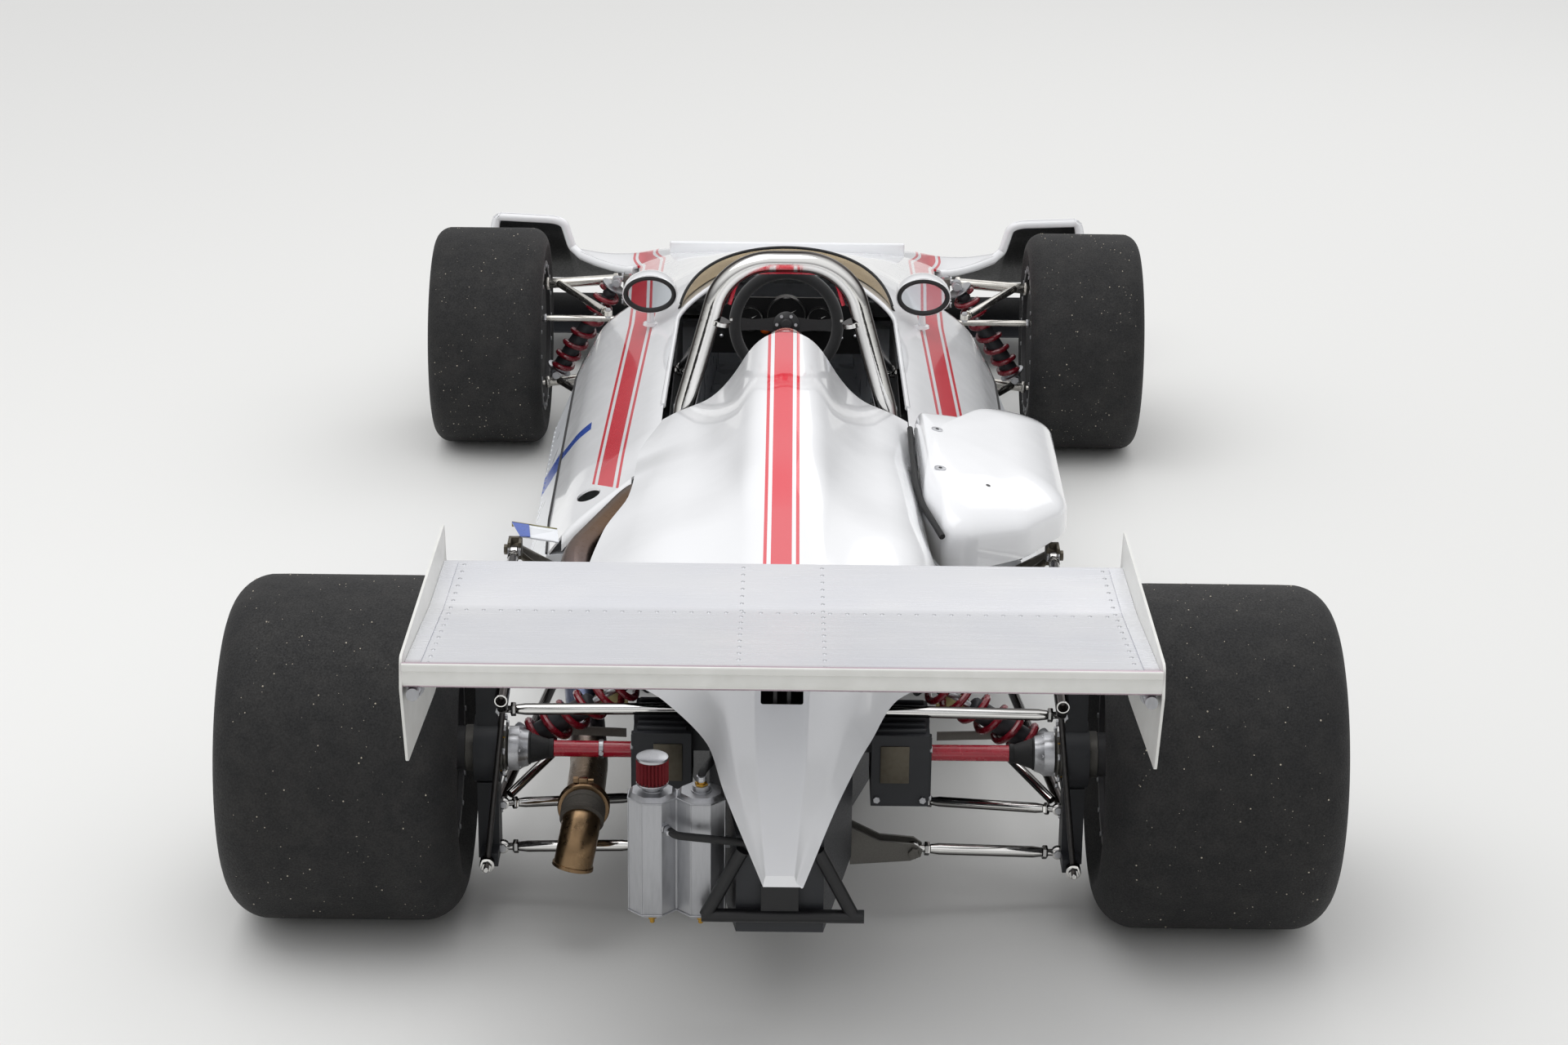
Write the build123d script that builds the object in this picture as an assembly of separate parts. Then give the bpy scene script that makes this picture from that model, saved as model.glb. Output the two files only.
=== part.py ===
from build123d import *
from math import cos, pi, radians, sin, tan
import os

# Open wheel racing car, about 1971, standing on its wheels.
# Millimetres. +Z up, +Y towards the tail, +X towards the car's left, floor at z = 0.

# Overall
WHEELBASE = 2455
FRONT_OVERHANG = 925
REAR_OVERHANG = 830
REAR_Y = (WHEELBASE + FRONT_OVERHANG + REAR_OVERHANG) / 2 - REAR_OVERHANG
FRONT_Y = REAR_Y - WHEELBASE
NOSE_Y = FRONT_Y - FRONT_OVERHANG
TAIL_Y = REAR_Y + REAR_OVERHANG

# Tyres and wheels: shoulder is the radius that rounds the tread into the side wall,
# face is where the wheel disc sits and hub_back where the hub starts, both from the tyre's middle
TYRES = {
    "front": dict(radius=253.5, section=262, shoulder=38, half_track=696, rim_width=254, face=30,
                  hub_back=60),
    "rear": dict(radius=293.5, section=401, shoulder=72, half_track=734, rim_width=356, face=40,
                 hub_back=196),
}
RIM_RADIUS = 165
RIM_WALL = 5
RIM_LIP = 12
RIM_FLANGE = 8
RIM_HUMP = 24
BEAD = 18
HUB_RADIUS = 38
DISC_WALL = 16
WINDOWS = dict(count=6, ring=108, radius=28)
WHEEL_NUT = dict(radius=34, height=34)

# Common clearances and walls
FLOOR_Z = 75
SKIN = 4
GAP = 1.0
RUNNING_GAP = 6

# Front suspension and steering
KINGPIN_INSET = 96
KINGPIN_X = TYRES["front"]["half_track"] - KINGPIN_INSET
KINGPIN_TOP = 363
KINGPIN_BOTTOM = 148
KINGPIN_POST = 36
STEER_ARM = 95
STEER_ARM_DROP = 20
TIE_Z = 326
TIE_ROD = 14
RACK_TUBE = 22
EYE_GAP = 1.0
FRONT_DISC = dict(radius=125, thickness=12, inset=52)

# Rear suspension
UPRIGHT_INSET = 234
UPRIGHT_X = TYRES["rear"]["half_track"] - UPRIGHT_INSET
UPRIGHT_WALL = 36
SHAFT = 34

# Rear wing
WING_CHORD = 640
WING_HALF_SPAN = 547
WING_TE_Z = 799
WING_LE_Z = 708
GURNEY = 36
PLATE = 4

os.makedirs("parts", exist_ok=True)


def save(name, shape):
    export_step(shape, f"parts/{name}.step")


def side(shape, hand):
    return shape if hand > 0 else mirror(shape, about=Plane.YZ)


def both(shape):
    return Compound(children=[*shape.solids(), *mirror(shape, about=Plane.YZ).solids()])


def face_at(y, points):
    """A face across the car at y, from (x, z) points."""
    plane = Plane(origin=(0, y, 0), x_dir=(1, 0, 0), z_dir=(0, -1, 0))
    return plane * make_face(Polyline(*points, close=True))


def panel(x, points, thickness, radius=0):
    """An upright plate along the car that starts at x, from (y, z) points."""
    wire = FilletPolyline(*points, radius=radius, close=True) if radius else Polyline(*points, close=True)
    plane = Plane(origin=(x, 0, 0), x_dir=(0, 1, 0), z_dir=(1, 0, 0))
    return extrude(plane * make_face(wire), thickness)


def upright(radius, height):
    return Cylinder(radius, height, align=(Align.CENTER, Align.CENTER, Align.MIN))


def rod(start, end, diameter, end_diameter=None):
    a, b = Vector(*start), Vector(*end)
    run = Plane(origin=a, z_dir=b - a)
    length = (b - a).length
    if end_diameter is None:
        return run * upright(diameter / 2, length)
    return run * Cone(diameter / 2, end_diameter / 2, length, align=(Align.CENTER, Align.CENTER, Align.MIN))


def bent_pipe(points, diameter, radius):
    path = FilletPolyline(*points, radius=radius)
    return sweep(Plane(origin=path @ 0, z_dir=path % 0) * Circle(diameter / 2), path=path)


def block(low, high):
    size = [h - l for l, h in zip(low, high)]
    return Pos(*low) * Box(*size, align=(Align.MIN, Align.MIN, Align.MIN))


def spun(points):
    """A solid turned about X from (x, r) points."""
    return revolve(make_face(Polyline(*points, close=True)), Axis.X)


def mirrored_points(half):
    """Full outline from its half, listed from the bottom centre line up to the top."""
    return half + [(-x, z) for x, z in reversed(half)]


# Tub: a riveted aluminium channel with low sills, open on top for the driver
# y, half width of floor, half width and height of the sill's outer edge, of the sill's top
TUB = [
    (FRONT_Y - 420, 290, 335, 130, 345, 285),
    (FRONT_Y, 300, 350, 140, 360, 330),
    (FRONT_Y + 180, 300, 355, 150, 366, 335),
    (FRONT_Y + 320, 440, 505, 175, 455, 300),
    (FRONT_Y + 480, 440, 520, 175, 468, 300),
    (REAR_Y - 1010, 440, 520, 175, 468, 300),
    (REAR_Y - 900, 425, 500, 175, 462, 298),
]
COCKPIT_HALF = 215
COCKPIT_BACK_Y = REAR_Y - 1209
COCKPIT_FRONT_Y = REAR_Y - 1900
FOOTWELL_Y = FRONT_Y - 300
FOOTWELL_HALF = 165
TUB_FLOOR = 20
BULKHEAD = dict(half=225, thickness=18, flange=36, flange_height=40, top=495)
RACK_HOLE = RACK_TUBE + 10


def rack_hole():
    return Pos(0, FRONT_Y + STEER_ARM, TIE_Z) * Rot(0, 90, 0) * Cylinder(RACK_HOLE / 2, 4 * TUB[1][1])


def monocoque_tub():
    tub = loft([face_at(y, mirrored_points([(floor, FLOOR_Z), (low, low_z), (top, top_z)]))
                for y, floor, low, low_z, top, top_z in TUB], ruled=True)
    bottom, above = FLOOR_Z + TUB_FLOOR, FLOOR_Z + 400
    cavity = loft([face_at(y, [(-half, bottom), (half, bottom), (half, above), (-half, above)])
                   for y, half in ((FOOTWELL_Y, FOOTWELL_HALF), (COCKPIT_FRONT_Y, COCKPIT_HALF),
                                   (COCKPIT_BACK_Y, COCKPIT_HALF))], ruled=True)
    half, top = BULKHEAD["half"], BULKHEAD["top"]
    back = COCKPIT_BACK_Y + BULKHEAD["thickness"]
    plate = block((-half, COCKPIT_BACK_Y, bottom), (half, back, top))
    flange = block((-half, COCKPIT_BACK_Y - BULKHEAD["flange"], top - BULKHEAD["flange_height"]), (half, back, top))
    return tub - cavity - rack_hole() + plate + flange


# Upper body: y, then half width and height of the base, the shoulder, the cockpit rim and the crown
SHELL = [
    (FRONT_Y - 376, 358, 302, 366, 320, 230, 342, 90, 352),
    (FRONT_Y, 360, 330, 358, 372, 225, 440, 110, 470),
    (FRONT_Y + 180, 366, 335, 362, 385, 232, 470, 120, 515),
    (FRONT_Y + 320, 455, 300, 412, 390, 240, 490, 125, 545),
    (FRONT_Y + 480, 468, 300, 414, 388, 240, 505, 125, 560),
    (REAR_Y - 1085, 468, 300, 418, 372, 246, 513, 120, 520),
    (REAR_Y - 902, 461, 299, 412, 366, 246, 500, 120, 515),
]
OPENING = dict(half=235, middle_y=REAR_Y - 1775, reach=200, back_half=245)


def shell_outline(row, wall):
    y, base, base_z, out, out_z, rim_x, rim_z, crown, crown_z = row
    drop = -5 if wall else GAP
    return mirrored_points([(base - wall, base_z + drop), (out - wall, out_z - wall * 0.4),
                            (rim_x - wall * 0.6, rim_z - wall), (crown, crown_z - wall)])


def shell_body(wall):
    return loft([face_at(row[0], shell_outline(row, wall)) for row in SHELL], ruled=True)


def cockpit_opening():
    half, middle, top = OPENING["half"], OPENING["middle_y"], FLOOR_Z + 225
    front = Pos(0, middle, top) * extrude(Ellipse(half, OPENING["reach"]), 400)
    back_half, end = OPENING["back_half"], SHELL[-1][0] + 50
    plan = Polyline((-half, middle), (-back_half, COCKPIT_BACK_Y), (-back_half, end),
                    (back_half, end), (back_half, COCKPIT_BACK_Y), (half, middle), close=True)
    return front + Pos(0, 0, top) * extrude(make_face(plan), 400)


# Intake box on the right: corners of its plan with the radius of each
AIRBOX = [
    (-250, REAR_Y - 1055, 25),
    (-385, REAR_Y - 1125, 40),
    (-425, REAR_Y - 1225, 35),
    (-530, REAR_Y - 1215, 55),
    (-530, REAR_Y - 495, 70),
    (-375, REAR_Y - 375, 60),
    (-288, REAR_Y - 455, 40),
]
AIRBOX_BOTTOM = 420
# height above the bottom, tilt, share of the plan that the crowned top keeps
AIRBOX_CROWN = [(0, 0, 1.0), (62, 6, 1.0), (100, 10, 0.95), (122, 13, 0.82)]
AIRBOX_SEAT = 3


def airbox_plan():
    outline = [(x, y) for x, y, _ in AIRBOX]
    return make_face(FilletPolyline(*outline, radius=[radius for _, _, radius in AIRBOX], close=True))


def airbox():
    middle_x = (AIRBOX[0][0] + AIRBOX[3][0]) / 2
    middle_y = (AIRBOX[3][1] + AIRBOX[5][1]) / 2
    plan = Pos(-middle_x, -middle_y, 0) * airbox_plan()
    sections = [Pos(middle_x, middle_y, AIRBOX_BOTTOM + rise) * Rot(0, -tilt, 0) * scale(plan, by=share)
                for rise, tilt, share in AIRBOX_CROWN]
    body = loft(sections, ruled=True)
    trunk = block((AIRBOX[0][0] - 30, ENGINE_FRONT_Y + 50, AIRBOX_BOTTOM + 4),
                  (-ENGINE_RIGHT - GAP, ENGINE_FRONT_Y + 350, AIRBOX_BOTTOM + 30))
    return body + trunk


def cockpit_surround():
    recess = Pos(0, 0, AIRBOX_BOTTOM - AIRBOX_SEAT) * extrude(offset(airbox_plan(), AIRBOX_SEAT), 200)
    return shell_body(0) - shell_body(SKIN) - cockpit_opening() - recess - rack_hole()


# Nose: a wide shallow wedge, open at the back, that rises into a hollow fairing ahead of each front wheel
NOSE_HALF = 744
NOSE_CORNER = 70
NOSE_FLOOR_Z = 95
NOSE_SKIN = 5
NOSE_EDGE = 60
FAIRING_BACK_Y = FRONT_Y - 515
NOSE_BACK_Y = FRONT_Y - 380
# half widths where the section turns: fairing outside, fairing inside, its foot, the flat, the body side, the crown
NOSE_TURNS = (740, 559, 534, 450, 374, 290)
# y, heights at those turns
NOSE = [
    (NOSE_Y, 125, 125, 124, 124, 124, 125),
    (NOSE_Y + NOSE_EDGE, 168, 168, 158, 157, 158, 160),
    (NOSE_Y + 120, 210, 208, 191, 190, 192, 196),
    (NOSE_Y + 265, 322, 320, 256, 252, 257, 270),
    (FAIRING_BACK_Y, 410, 402, 318, 303, 305, 328),
    (NOSE_BACK_Y, 425, 417, 322, 306, 309, 352),
]
NOSE_LIP = dict(y=FRONT_Y - 420, half=290, thickness=12, bottom=334, top=370)
NOSE_SLOT = dict(half=250, bottom=106, top=148)


def nose_outline(row, wall):
    heights = list(zip(NOSE_TURNS, row[1:]))
    bottom = NOSE_FLOOR_Z - (10 if wall else 0)
    points = [(x - (wall if x == NOSE_TURNS[0] else 0), z - wall) for x, z in heights]
    return mirrored_points([(NOSE_HALF - wall, bottom)] + points)


def nose_cowl():
    outer = loft([face_at(row[0], nose_outline(row, 0)) for row in NOSE], ruled=True)
    hollow = [face_at(row[0] + (1 if row is NOSE[-1] else 0), nose_outline(row, NOSE_SKIN)) for row in NOSE[1:]]
    inner = loft(hollow, ruled=True)
    depth = NOSE_BACK_Y - NOSE_Y + 200
    plan = Pos(0, NOSE_Y + depth / 2, 0) * extrude(RectangleRounded(2 * NOSE_HALF, depth, NOSE_CORNER), 500)
    foot, body, beyond = NOSE_TURNS[2], NOSE_TURNS[4], 50
    sweep_back = Polyline((foot, FAIRING_BACK_Y), (body, NOSE_BACK_Y), (body, NOSE_BACK_Y + beyond),
                          (NOSE_HALF + beyond, NOSE_BACK_Y + beyond), (NOSE_HALF + beyond, FAIRING_BACK_Y), close=True)
    corner = extrude(make_face(sweep_back), 500)
    slot = block((-NOSE_SLOT["half"], NOSE_Y - 1, NOSE_SLOT["bottom"]),
                 (NOSE_SLOT["half"], NOSE_Y + NOSE_EDGE + 20, NOSE_SLOT["top"]))
    half, y = NOSE_LIP["half"], NOSE_LIP["y"]
    lip = block((-half, y, NOSE_LIP["bottom"]), (half, y + NOSE_LIP["thickness"], NOSE_LIP["top"]))
    cowl = ((outer - inner - slot) & plan) - side(corner, 1) - side(corner, -1) + lip
    inset = NOSE_SKIN + GAP
    floor = block((inset - NOSE_HALF, NOSE_Y + NOSE_EDGE + 2, NOSE_FLOOR_Z),
                  (NOSE_HALF - inset, FAIRING_BACK_Y - GAP, NOSE_FLOOR_Z + SKIN))
    return Compound(children=[*cowl.solids(), floor])


# Tinted screen round the front of the cockpit: half width and reach at the base and at the top
SCREEN = dict(base=(243, 235), base_z=470, top=(205, 140), top_z=630, middle_y=REAR_Y - 1852, lean=27)
SCREEN_WALL = 3
SCREEN_BACK_Y = REAR_Y - 1835


def screen_body(wall):
    sections = [Pos(0, SCREEN["middle_y"], SCREEN["base_z"] - wall)
                * Ellipse(SCREEN["base"][0] - wall, SCREEN["base"][1] - wall),
                Pos(0, SCREEN["middle_y"] + SCREEN["lean"], SCREEN["top_z"] + wall)
                * Ellipse(SCREEN["top"][0] - wall, SCREEN["top"][1] - wall)]
    return loft(sections, ruled=True)


def windscreen():
    front, top = REAR_Y - 1975, 613
    above = panel(-400, [(front - 300, top + 242), (front, top), (SCREEN_BACK_Y, 500), (SCREEN_BACK_Y + 400, 180),
                         (SCREEN_BACK_Y + 400, 1200), (front - 300, 1200)], 800)
    return screen_body(0) - screen_body(SCREEN_WALL) - above - shell_body(0)


# Mirrors on the shoulders
MIRROR = dict(x=296, y=REAR_Y - 1800, z=556, half=60, height=42, pod=115, taper=0.35, rim=4, dish=8)
STALK = dict(diameter=18, behind=45, below=12, foot=474)


def mirrors():
    x, y, z = MIRROR["x"], MIRROR["y"], MIRROR["z"]
    half, height = MIRROR["half"], MIRROR["height"]
    rim, taper = MIRROR["rim"], MIRROR["taper"]
    nose = Plane.XY.offset(MIRROR["pod"]) * Ellipse(half * taper, height * taper)
    pod = loft([Ellipse(half, height), nose], ruled=True) - extrude(Ellipse(half - rim, height - rim), MIRROR["dish"])
    stalk_y = y - STALK["behind"]
    stalk = rod((x, stalk_y, z - STALK["below"]), (x, stalk_y, STALK["foot"]), STALK["diameter"])
    return both(Pos(x, y, z) * Rot(90, 0, 0) * pod + stalk)


def mirror_glasses():
    edge = MIRROR["rim"] + GAP
    glass = extrude(Ellipse(MIRROR["half"] - edge, MIRROR["height"] - edge), MIRROR["dish"] / 2)
    return both(Pos(MIRROR["x"], MIRROR["y"] - MIRROR["dish"] / 2, MIRROR["z"]) * Rot(90, 0, 0) * glass)


# Roll hoop over the headrest
HOOP_Y = REAR_Y - 1135
HOOP_TOP_Z = 850
HOOP_TUBE = 42
HOOP_FOOT = (235, 304)
HOOP_KNEE = (199, 535)
HOOP_BROW = (118, HOOP_TOP_Z - HOOP_TUBE / 2)
# stay from the hoop forward to the cockpit's edge
HOOP_STAY = dict(head=(150, HOOP_Y - 2, 700), foot=(224, REAR_Y - 1538, 472), diameter=14)


def roll_hoop():
    half = [HOOP_FOOT, HOOP_KNEE, HOOP_BROW]
    wire = FilletPolyline(*half, *[(-x, z) for x, z in reversed(half)], radius=[120, 118, 118, 120])
    path = Plane(origin=(0, HOOP_Y, 0), x_dir=(1, 0, 0), z_dir=(0, -1, 0)) * wire
    hoop = sweep(Plane(origin=path @ 0, z_dir=path % 0) * Circle(HOOP_TUBE / 2), path=path)
    for hand in (1, -1):
        head, foot = [(hand * x, y, z) for x, y, z in (HOOP_STAY["head"], HOOP_STAY["foot"])]
        hoop += rod(head, foot, HOOP_STAY["diameter"])
    return hoop


# Seat: a low base and a back that leans on the bulkhead
SEAT_HALF = 190
SEAT_FRONT_Y = COCKPIT_FRONT_Y + 150
SEAT_BOTTOM_Z = FLOOR_Z + 25
SEAT_BASE_Z = FLOOR_Z + 75
SEAT_TOP_Z = BULKHEAD["top"] - 70
SEAT = [
    (SEAT_FRONT_Y, SEAT_BOTTOM_Z),
    (COCKPIT_BACK_Y - 60, SEAT_BOTTOM_Z),
    (COCKPIT_BACK_Y - GAP, SEAT_TOP_Z),
    (COCKPIT_BACK_Y - 37, SEAT_TOP_Z),
    (COCKPIT_BACK_Y - 102, SEAT_BASE_Z),
    (SEAT_FRONT_Y, SEAT_BASE_Z),
]


def seat():
    return panel(-SEAT_HALF, SEAT, 2 * SEAT_HALF)


# Steering wheel on its column, and the instrument panel ahead of it
STEER_WHEEL_R = 122
STEER_WHEEL_GRIP = 13
STEER_WHEEL_Y = REAR_Y - 1635
STEER_WHEEL_Z = 543
SPOKE = dict(width=24, thickness=4, turns=(0, 180, 270))
STEER_HUB = dict(radius=28, height=16)
COLUMN = dict(slope=15.6, diameter=20, length=330)
DASH_Y = STEER_WHEEL_Y - 160
DASH_PLATE = 6
DASH = [(-195, 430), (195, 430), (190, 492), (110, 556), (-110, 556), (-190, 492)]
# x, z, radius and depth of each instrument
DIALS = [(0, 520, 42, 20), (78, 510, 27, 16), (-72, 511, 27, 16)]


def column_axis(shape):
    return Pos(0, STEER_WHEEL_Y, STEER_WHEEL_Z) * Rot(COLUMN["slope"] - 90, 0, 0) * shape


def dashboard():
    board = extrude(face_at(DASH_Y, DASH), -DASH_PLATE)
    dials = [Pos(x, DASH_Y, z) * Rot(-90, 0, 0) * upright(radius, depth) for x, z, radius, depth in DIALS]
    hole = column_axis(Cylinder(COLUMN["diameter"] / 2 + RUNNING_GAP, 2 * COLUMN["length"]))
    return board + dials - hole


def steering_wheel():
    rim = Torus(STEER_WHEEL_R - STEER_WHEEL_GRIP, STEER_WHEEL_GRIP)
    spoke = Box(STEER_WHEEL_R - STEER_WHEEL_GRIP, SPOKE["width"], SPOKE["thickness"])
    spokes = [Rot(0, 0, turn) * Pos(STEER_WHEEL_R / 2, 0, 0) * spoke for turn in SPOKE["turns"]]
    hub = Cylinder(STEER_HUB["radius"], STEER_HUB["height"])
    column = Pos(0, 0, -COLUMN["length"]) * upright(COLUMN["diameter"] / 2, COLUMN["length"])
    return column_axis(rim + spokes + hub + column)


GEAR_LEVER = dict(x=-190, y=REAR_Y - 1590, foot=378, top=478, stick=10, knob=15, knob_height=28, knob_sunk=10)


def gear_lever():
    x, y, top = GEAR_LEVER["x"], GEAR_LEVER["y"], GEAR_LEVER["top"]
    stick = rod((x, y, GEAR_LEVER["foot"]), (x, y, top), GEAR_LEVER["stick"])
    return stick + Pos(x, y, top - GEAR_LEVER["knob_sunk"]) * upright(GEAR_LEVER["knob"], GEAR_LEVER["knob_height"])


# Engine cover with the headrest, and the tail under the wing
# y, half width of the hem left and right and its height, then half width and height of deck, neck and crest
COVER = [
    (REAR_Y - 1110, 243, 243, 508, 212, 526, 128, 560, 50, 692),
    (REAR_Y - 895, 243, 243, 492, 222, 530, 130, 562, 50, 676),
    (REAR_Y - 755, 282, 252, 480, 228, 537, 128, 566, 50, 660),
    (REAR_Y - 520, 318, 268, 462, 240, 545, 118, 574, 50, 637),
    (REAR_Y - 325, 345, 288, 450, 250, 548, 108, 585, 48, 614),
    (REAR_Y + 15, 268, 250, 430, 212, 545, 98, 588, 45, 604),
]
HEADREST = [
    (REAR_Y - 1249, 16, 16, 600, 15, 615, 12, 640, 6, 655),
    (REAR_Y - 1190, 84, 84, 510, 80, 520, 62, 575, 32, 676),
    (REAR_Y - 1108, 127, 127, 510, 126, 520, 122, 560, 49, 692),
]
TAIL = [
    (REAR_Y + 17, 266, 250, 430, 210, 545, 96, 588, 45, 604),
    (REAR_Y + 130, 195, 185, 440, 150, 520, 80, 566, 44, 592),
    (REAR_Y + 300, 120, 140, 440, 98, 500, 62, 530, 42, 548),
    (REAR_Y + 430, 90, 98, 415, 74, 450, 50, 476, 38, 490),
    (REAR_Y + 620, 26, 36, 345, 25, 352, 24, 358, 22, 364),
]
PILLAR_SLOT = dict(half=34, front=REAR_Y + 290, back=REAR_Y + 345)


def hood_outline(row, wall):
    y, left, right, hem_z, deck, deck_z, neck, neck_z, crest, crest_z = row
    drop = 5 if wall else 0
    upper = [(deck - wall, deck_z - wall), (neck - wall / 2, neck_z - wall), (crest - wall / 2, crest_z - wall)]
    return [(left - wall, hem_z - drop), *upper, *[(-x, z) for x, z in reversed(upper)], (wall - right, hem_z - drop)]


def hood(rows, wall, closed_front=0):
    outer = loft([face_at(row[0], hood_outline(row, 0)) for row in rows], ruled=True)
    inner = [(row[0] + (closed_front if row is rows[0] else 0), *row[1:]) for row in rows]
    return outer - loft([face_at(row[0], hood_outline(row, wall)) for row in inner], ruled=True)


def engine_cover():
    cover = hood(COVER, SKIN) + hood(HEADREST, SKIN, closed_front=SKIN)
    return cover - bent_pipe(EXHAUST_RUN, EXHAUST_PIPE + 2 * SCALLOP, EXHAUST_BEND)


def tail_fairing():
    half = PILLAR_SLOT["half"]
    slot = block((-half, PILLAR_SLOT["front"], TAIL[2][3]), (half, PILLAR_SLOT["back"], COVER[0][9]))
    return hood(TAIL, SKIN) - slot


# Engine, gearbox and exhaust
ENGINE_FRONT_Y = REAR_Y - 900
ENGINE_BACK_Y = REAR_Y - 380
ENGINE_LEFT = 190
ENGINE_RIGHT = 199
ENGINE_Z = (110, 525)
GEARBOX_HALF = 120
# y, half width, bottom and top
GEARBOX = [
    (ENGINE_BACK_Y + GAP, 190, 120, 420),
    (REAR_Y - 90, GEARBOX_HALF, 140, 400),
    (REAR_Y + 110, GEARBOX_HALF, 150, 390),
    (REAR_Y + 430, 70, 170, 340),
]


def engine_block():
    return block((-ENGINE_RIGHT, ENGINE_FRONT_Y + GAP, ENGINE_Z[0]), (ENGINE_LEFT, ENGINE_BACK_Y, ENGINE_Z[1]))


def gearbox():
    sections = [face_at(y, mirrored_points([(half, low), (half, high)])) for y, half, low, high in GEARBOX]
    return loft(sections, ruled=True)


EXHAUST_PIPE = 66
EXHAUST_BEND = 110
SCALLOP = 10
EXHAUST_X = 335
EXHAUST_END = (EXHAUST_X, REAR_Y + 50, 213)
EXHAUST_RUN = [
    (252, REAR_Y - 865, 440),
    (282, REAR_Y - 715, 480),
    (378, REAR_Y - 545, 432),
    (362, REAR_Y - 320, 335),
    (EXHAUST_X, REAR_Y - 120, 213),
    EXHAUST_END,
]
PRIMARY = dict(count=4, pitch=88, first=REAR_Y - 850, diameter=40, z=400, stub=24, forward=12)
TAILPIPE = dict(knee=75, bend=60, end=(EXHAUST_X + 15, REAR_Y + 138, 138), wall=3)
V_BAND = dict(radius=42, width=16)


def exhaust_middle(y):
    """The point of the exhaust's middle line at y."""
    for a, b in zip(EXHAUST_RUN, EXHAUST_RUN[1:]):
        if y <= b[1]:
            share = (y - a[1]) / (b[1] - a[1])
            return tuple(p + (q - p) * share for p, q in zip(a, b))


def exhaust_manifold():
    pipe = bent_pipe(EXHAUST_RUN, EXHAUST_PIPE, EXHAUST_BEND)
    port_x, stub_x = ENGINE_LEFT + GAP, ENGINE_LEFT + PRIMARY["stub"]
    for index in range(PRIMARY["count"]):
        y, z = PRIMARY["first"] + index * PRIMARY["pitch"], PRIMARY["z"]
        pipe += rod((port_x, y, z), (stub_x, y, z), PRIMARY["diameter"])
        pipe += rod((stub_x - 6, y, z), exhaust_middle(y + PRIMARY["forward"]), PRIMARY["diameter"])
    return pipe


def exhaust_tailpipe():
    x, y, z = EXHAUST_END
    start, knee = (x, y + GAP, z), (x, y + TAILPIPE["knee"], z)
    path = FilletPolyline(start, knee, TAILPIPE["end"], radius=TAILPIPE["bend"])
    mouth = Plane(origin=path @ 0, z_dir=path % 0)
    outer = EXHAUST_PIPE / 2
    pipe = sweep(mouth * Circle(outer), path=path) - sweep(mouth * Circle(outer - TAILPIPE["wall"]), path=path)
    band = mouth * (upright(V_BAND["radius"], V_BAND["width"]) - Cylinder(outer, 4 * V_BAND["width"]))
    return pipe + band


CALIPER = dict(inner=152, outer=250, front=80, back=70, bottom=225, top=355, bore=45)
CALIPER_FOOT = dict(front=60, back=50, height=40)


def rear_calipers():
    inner, outer, top = CALIPER["inner"], CALIPER["outer"], CALIPER["top"]
    body = block((inner, REAR_Y - CALIPER["front"], CALIPER["bottom"]), (outer, REAR_Y + CALIPER["back"], top))
    middle = Pos((inner + outer) / 2, REAR_Y, TYRES["rear"]["radius"])
    hole = middle * Rot(0, 90, 0) * Cylinder(CALIPER["bore"], 2 * (outer - inner))
    foot = block((GEARBOX_HALF + GAP, REAR_Y - CALIPER_FOOT["front"], top - CALIPER_FOOT["height"]),
                 (inner, REAR_Y + CALIPER_FOOT["back"], top))
    return both(body - hole + foot)


# Catch tanks, filter and the black subframe at the tail
TANK_FLATS = 76
TANK_Y = REAR_Y + 385
TANK_TOP_Z = 398
TANK_HEIGHT = 211
TANK_X = (205, 127)
NECK = dict(radius=14, height=10)
DRAIN = dict(radius=6, height=14)
TANK_BAR = dict(z=308, width=16)
FILTER = dict(radius=26, height=44, cap=6, cap_inset=2)
HOSE = dict(diameter=13, radius=14)
# breather hose from the neck of the inner tank to the gearbox, and cross hose from the outer tank's back
BREATHER_HOSE = [
    (TANK_X[1], TANK_Y, TANK_TOP_Z),
    (TANK_X[1], TANK_Y, TANK_TOP_Z + 30),
    (108, TANK_Y - 100, TANK_TOP_Z + 12),
    (60, TANK_Y - 160, TANK_TOP_Z + 6),
    (60, TANK_Y - 160, 373),
]
CROSS_HOSE = [
    (TANK_X[0] - 20, TANK_Y + 30, 346),
    (TANK_X[0] - 40, TANK_Y + 64, 348),
    (24, TANK_Y + 64, 334),
    (24, REAR_Y + 430 + GAP, 334),
]


def catch_tanks():
    base = Pos(0, TANK_Y, TANK_TOP_Z - TANK_HEIGHT)
    tank = Rot(0, 0, 360 / 16) * extrude(RegularPolygon(TANK_FLATS / 2, 8, major_radius=False), TANK_HEIGHT)
    tank += Pos(0, 0, TANK_HEIGHT) * upright(NECK["radius"], NECK["height"])
    tank += Pos(0, 0, -DRAIN["height"]) * upright(DRAIN["radius"], DRAIN["height"])
    half, z = TANK_BAR["width"] / 2, TANK_BAR["z"]
    bar = block((GEARBOX[-1][1] + 10, TANK_Y - half, z - half), (TANK_X[0], TANK_Y + half, z + half))
    tanks = Pos(TANK_X[0], 0, 0) * base * tank + Pos(TANK_X[1], 0, 0) * base * tank + bar
    for route in (BREATHER_HOSE, CROSS_HOSE):
        tanks += bent_pipe(route, HOSE["diameter"], HOSE["radius"])
    return tanks


def breather_filter():
    cloth = upright(FILTER["radius"], FILTER["height"])
    cap = Pos(0, 0, FILTER["height"]) * upright(FILTER["radius"] - FILTER["cap_inset"], FILTER["cap"])
    return Pos(TANK_X[0], TANK_Y, TANK_TOP_Z + NECK["height"] + GAP) * (cloth + cap)


SUBFRAME = dict(y=REAR_Y + 442, z=205, tube=22, left=125, right=-135, leg=60, leg_foot=118, leg_top=320)
JACK_PLATE = dict(half=30, height=55, thickness=8)


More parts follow.
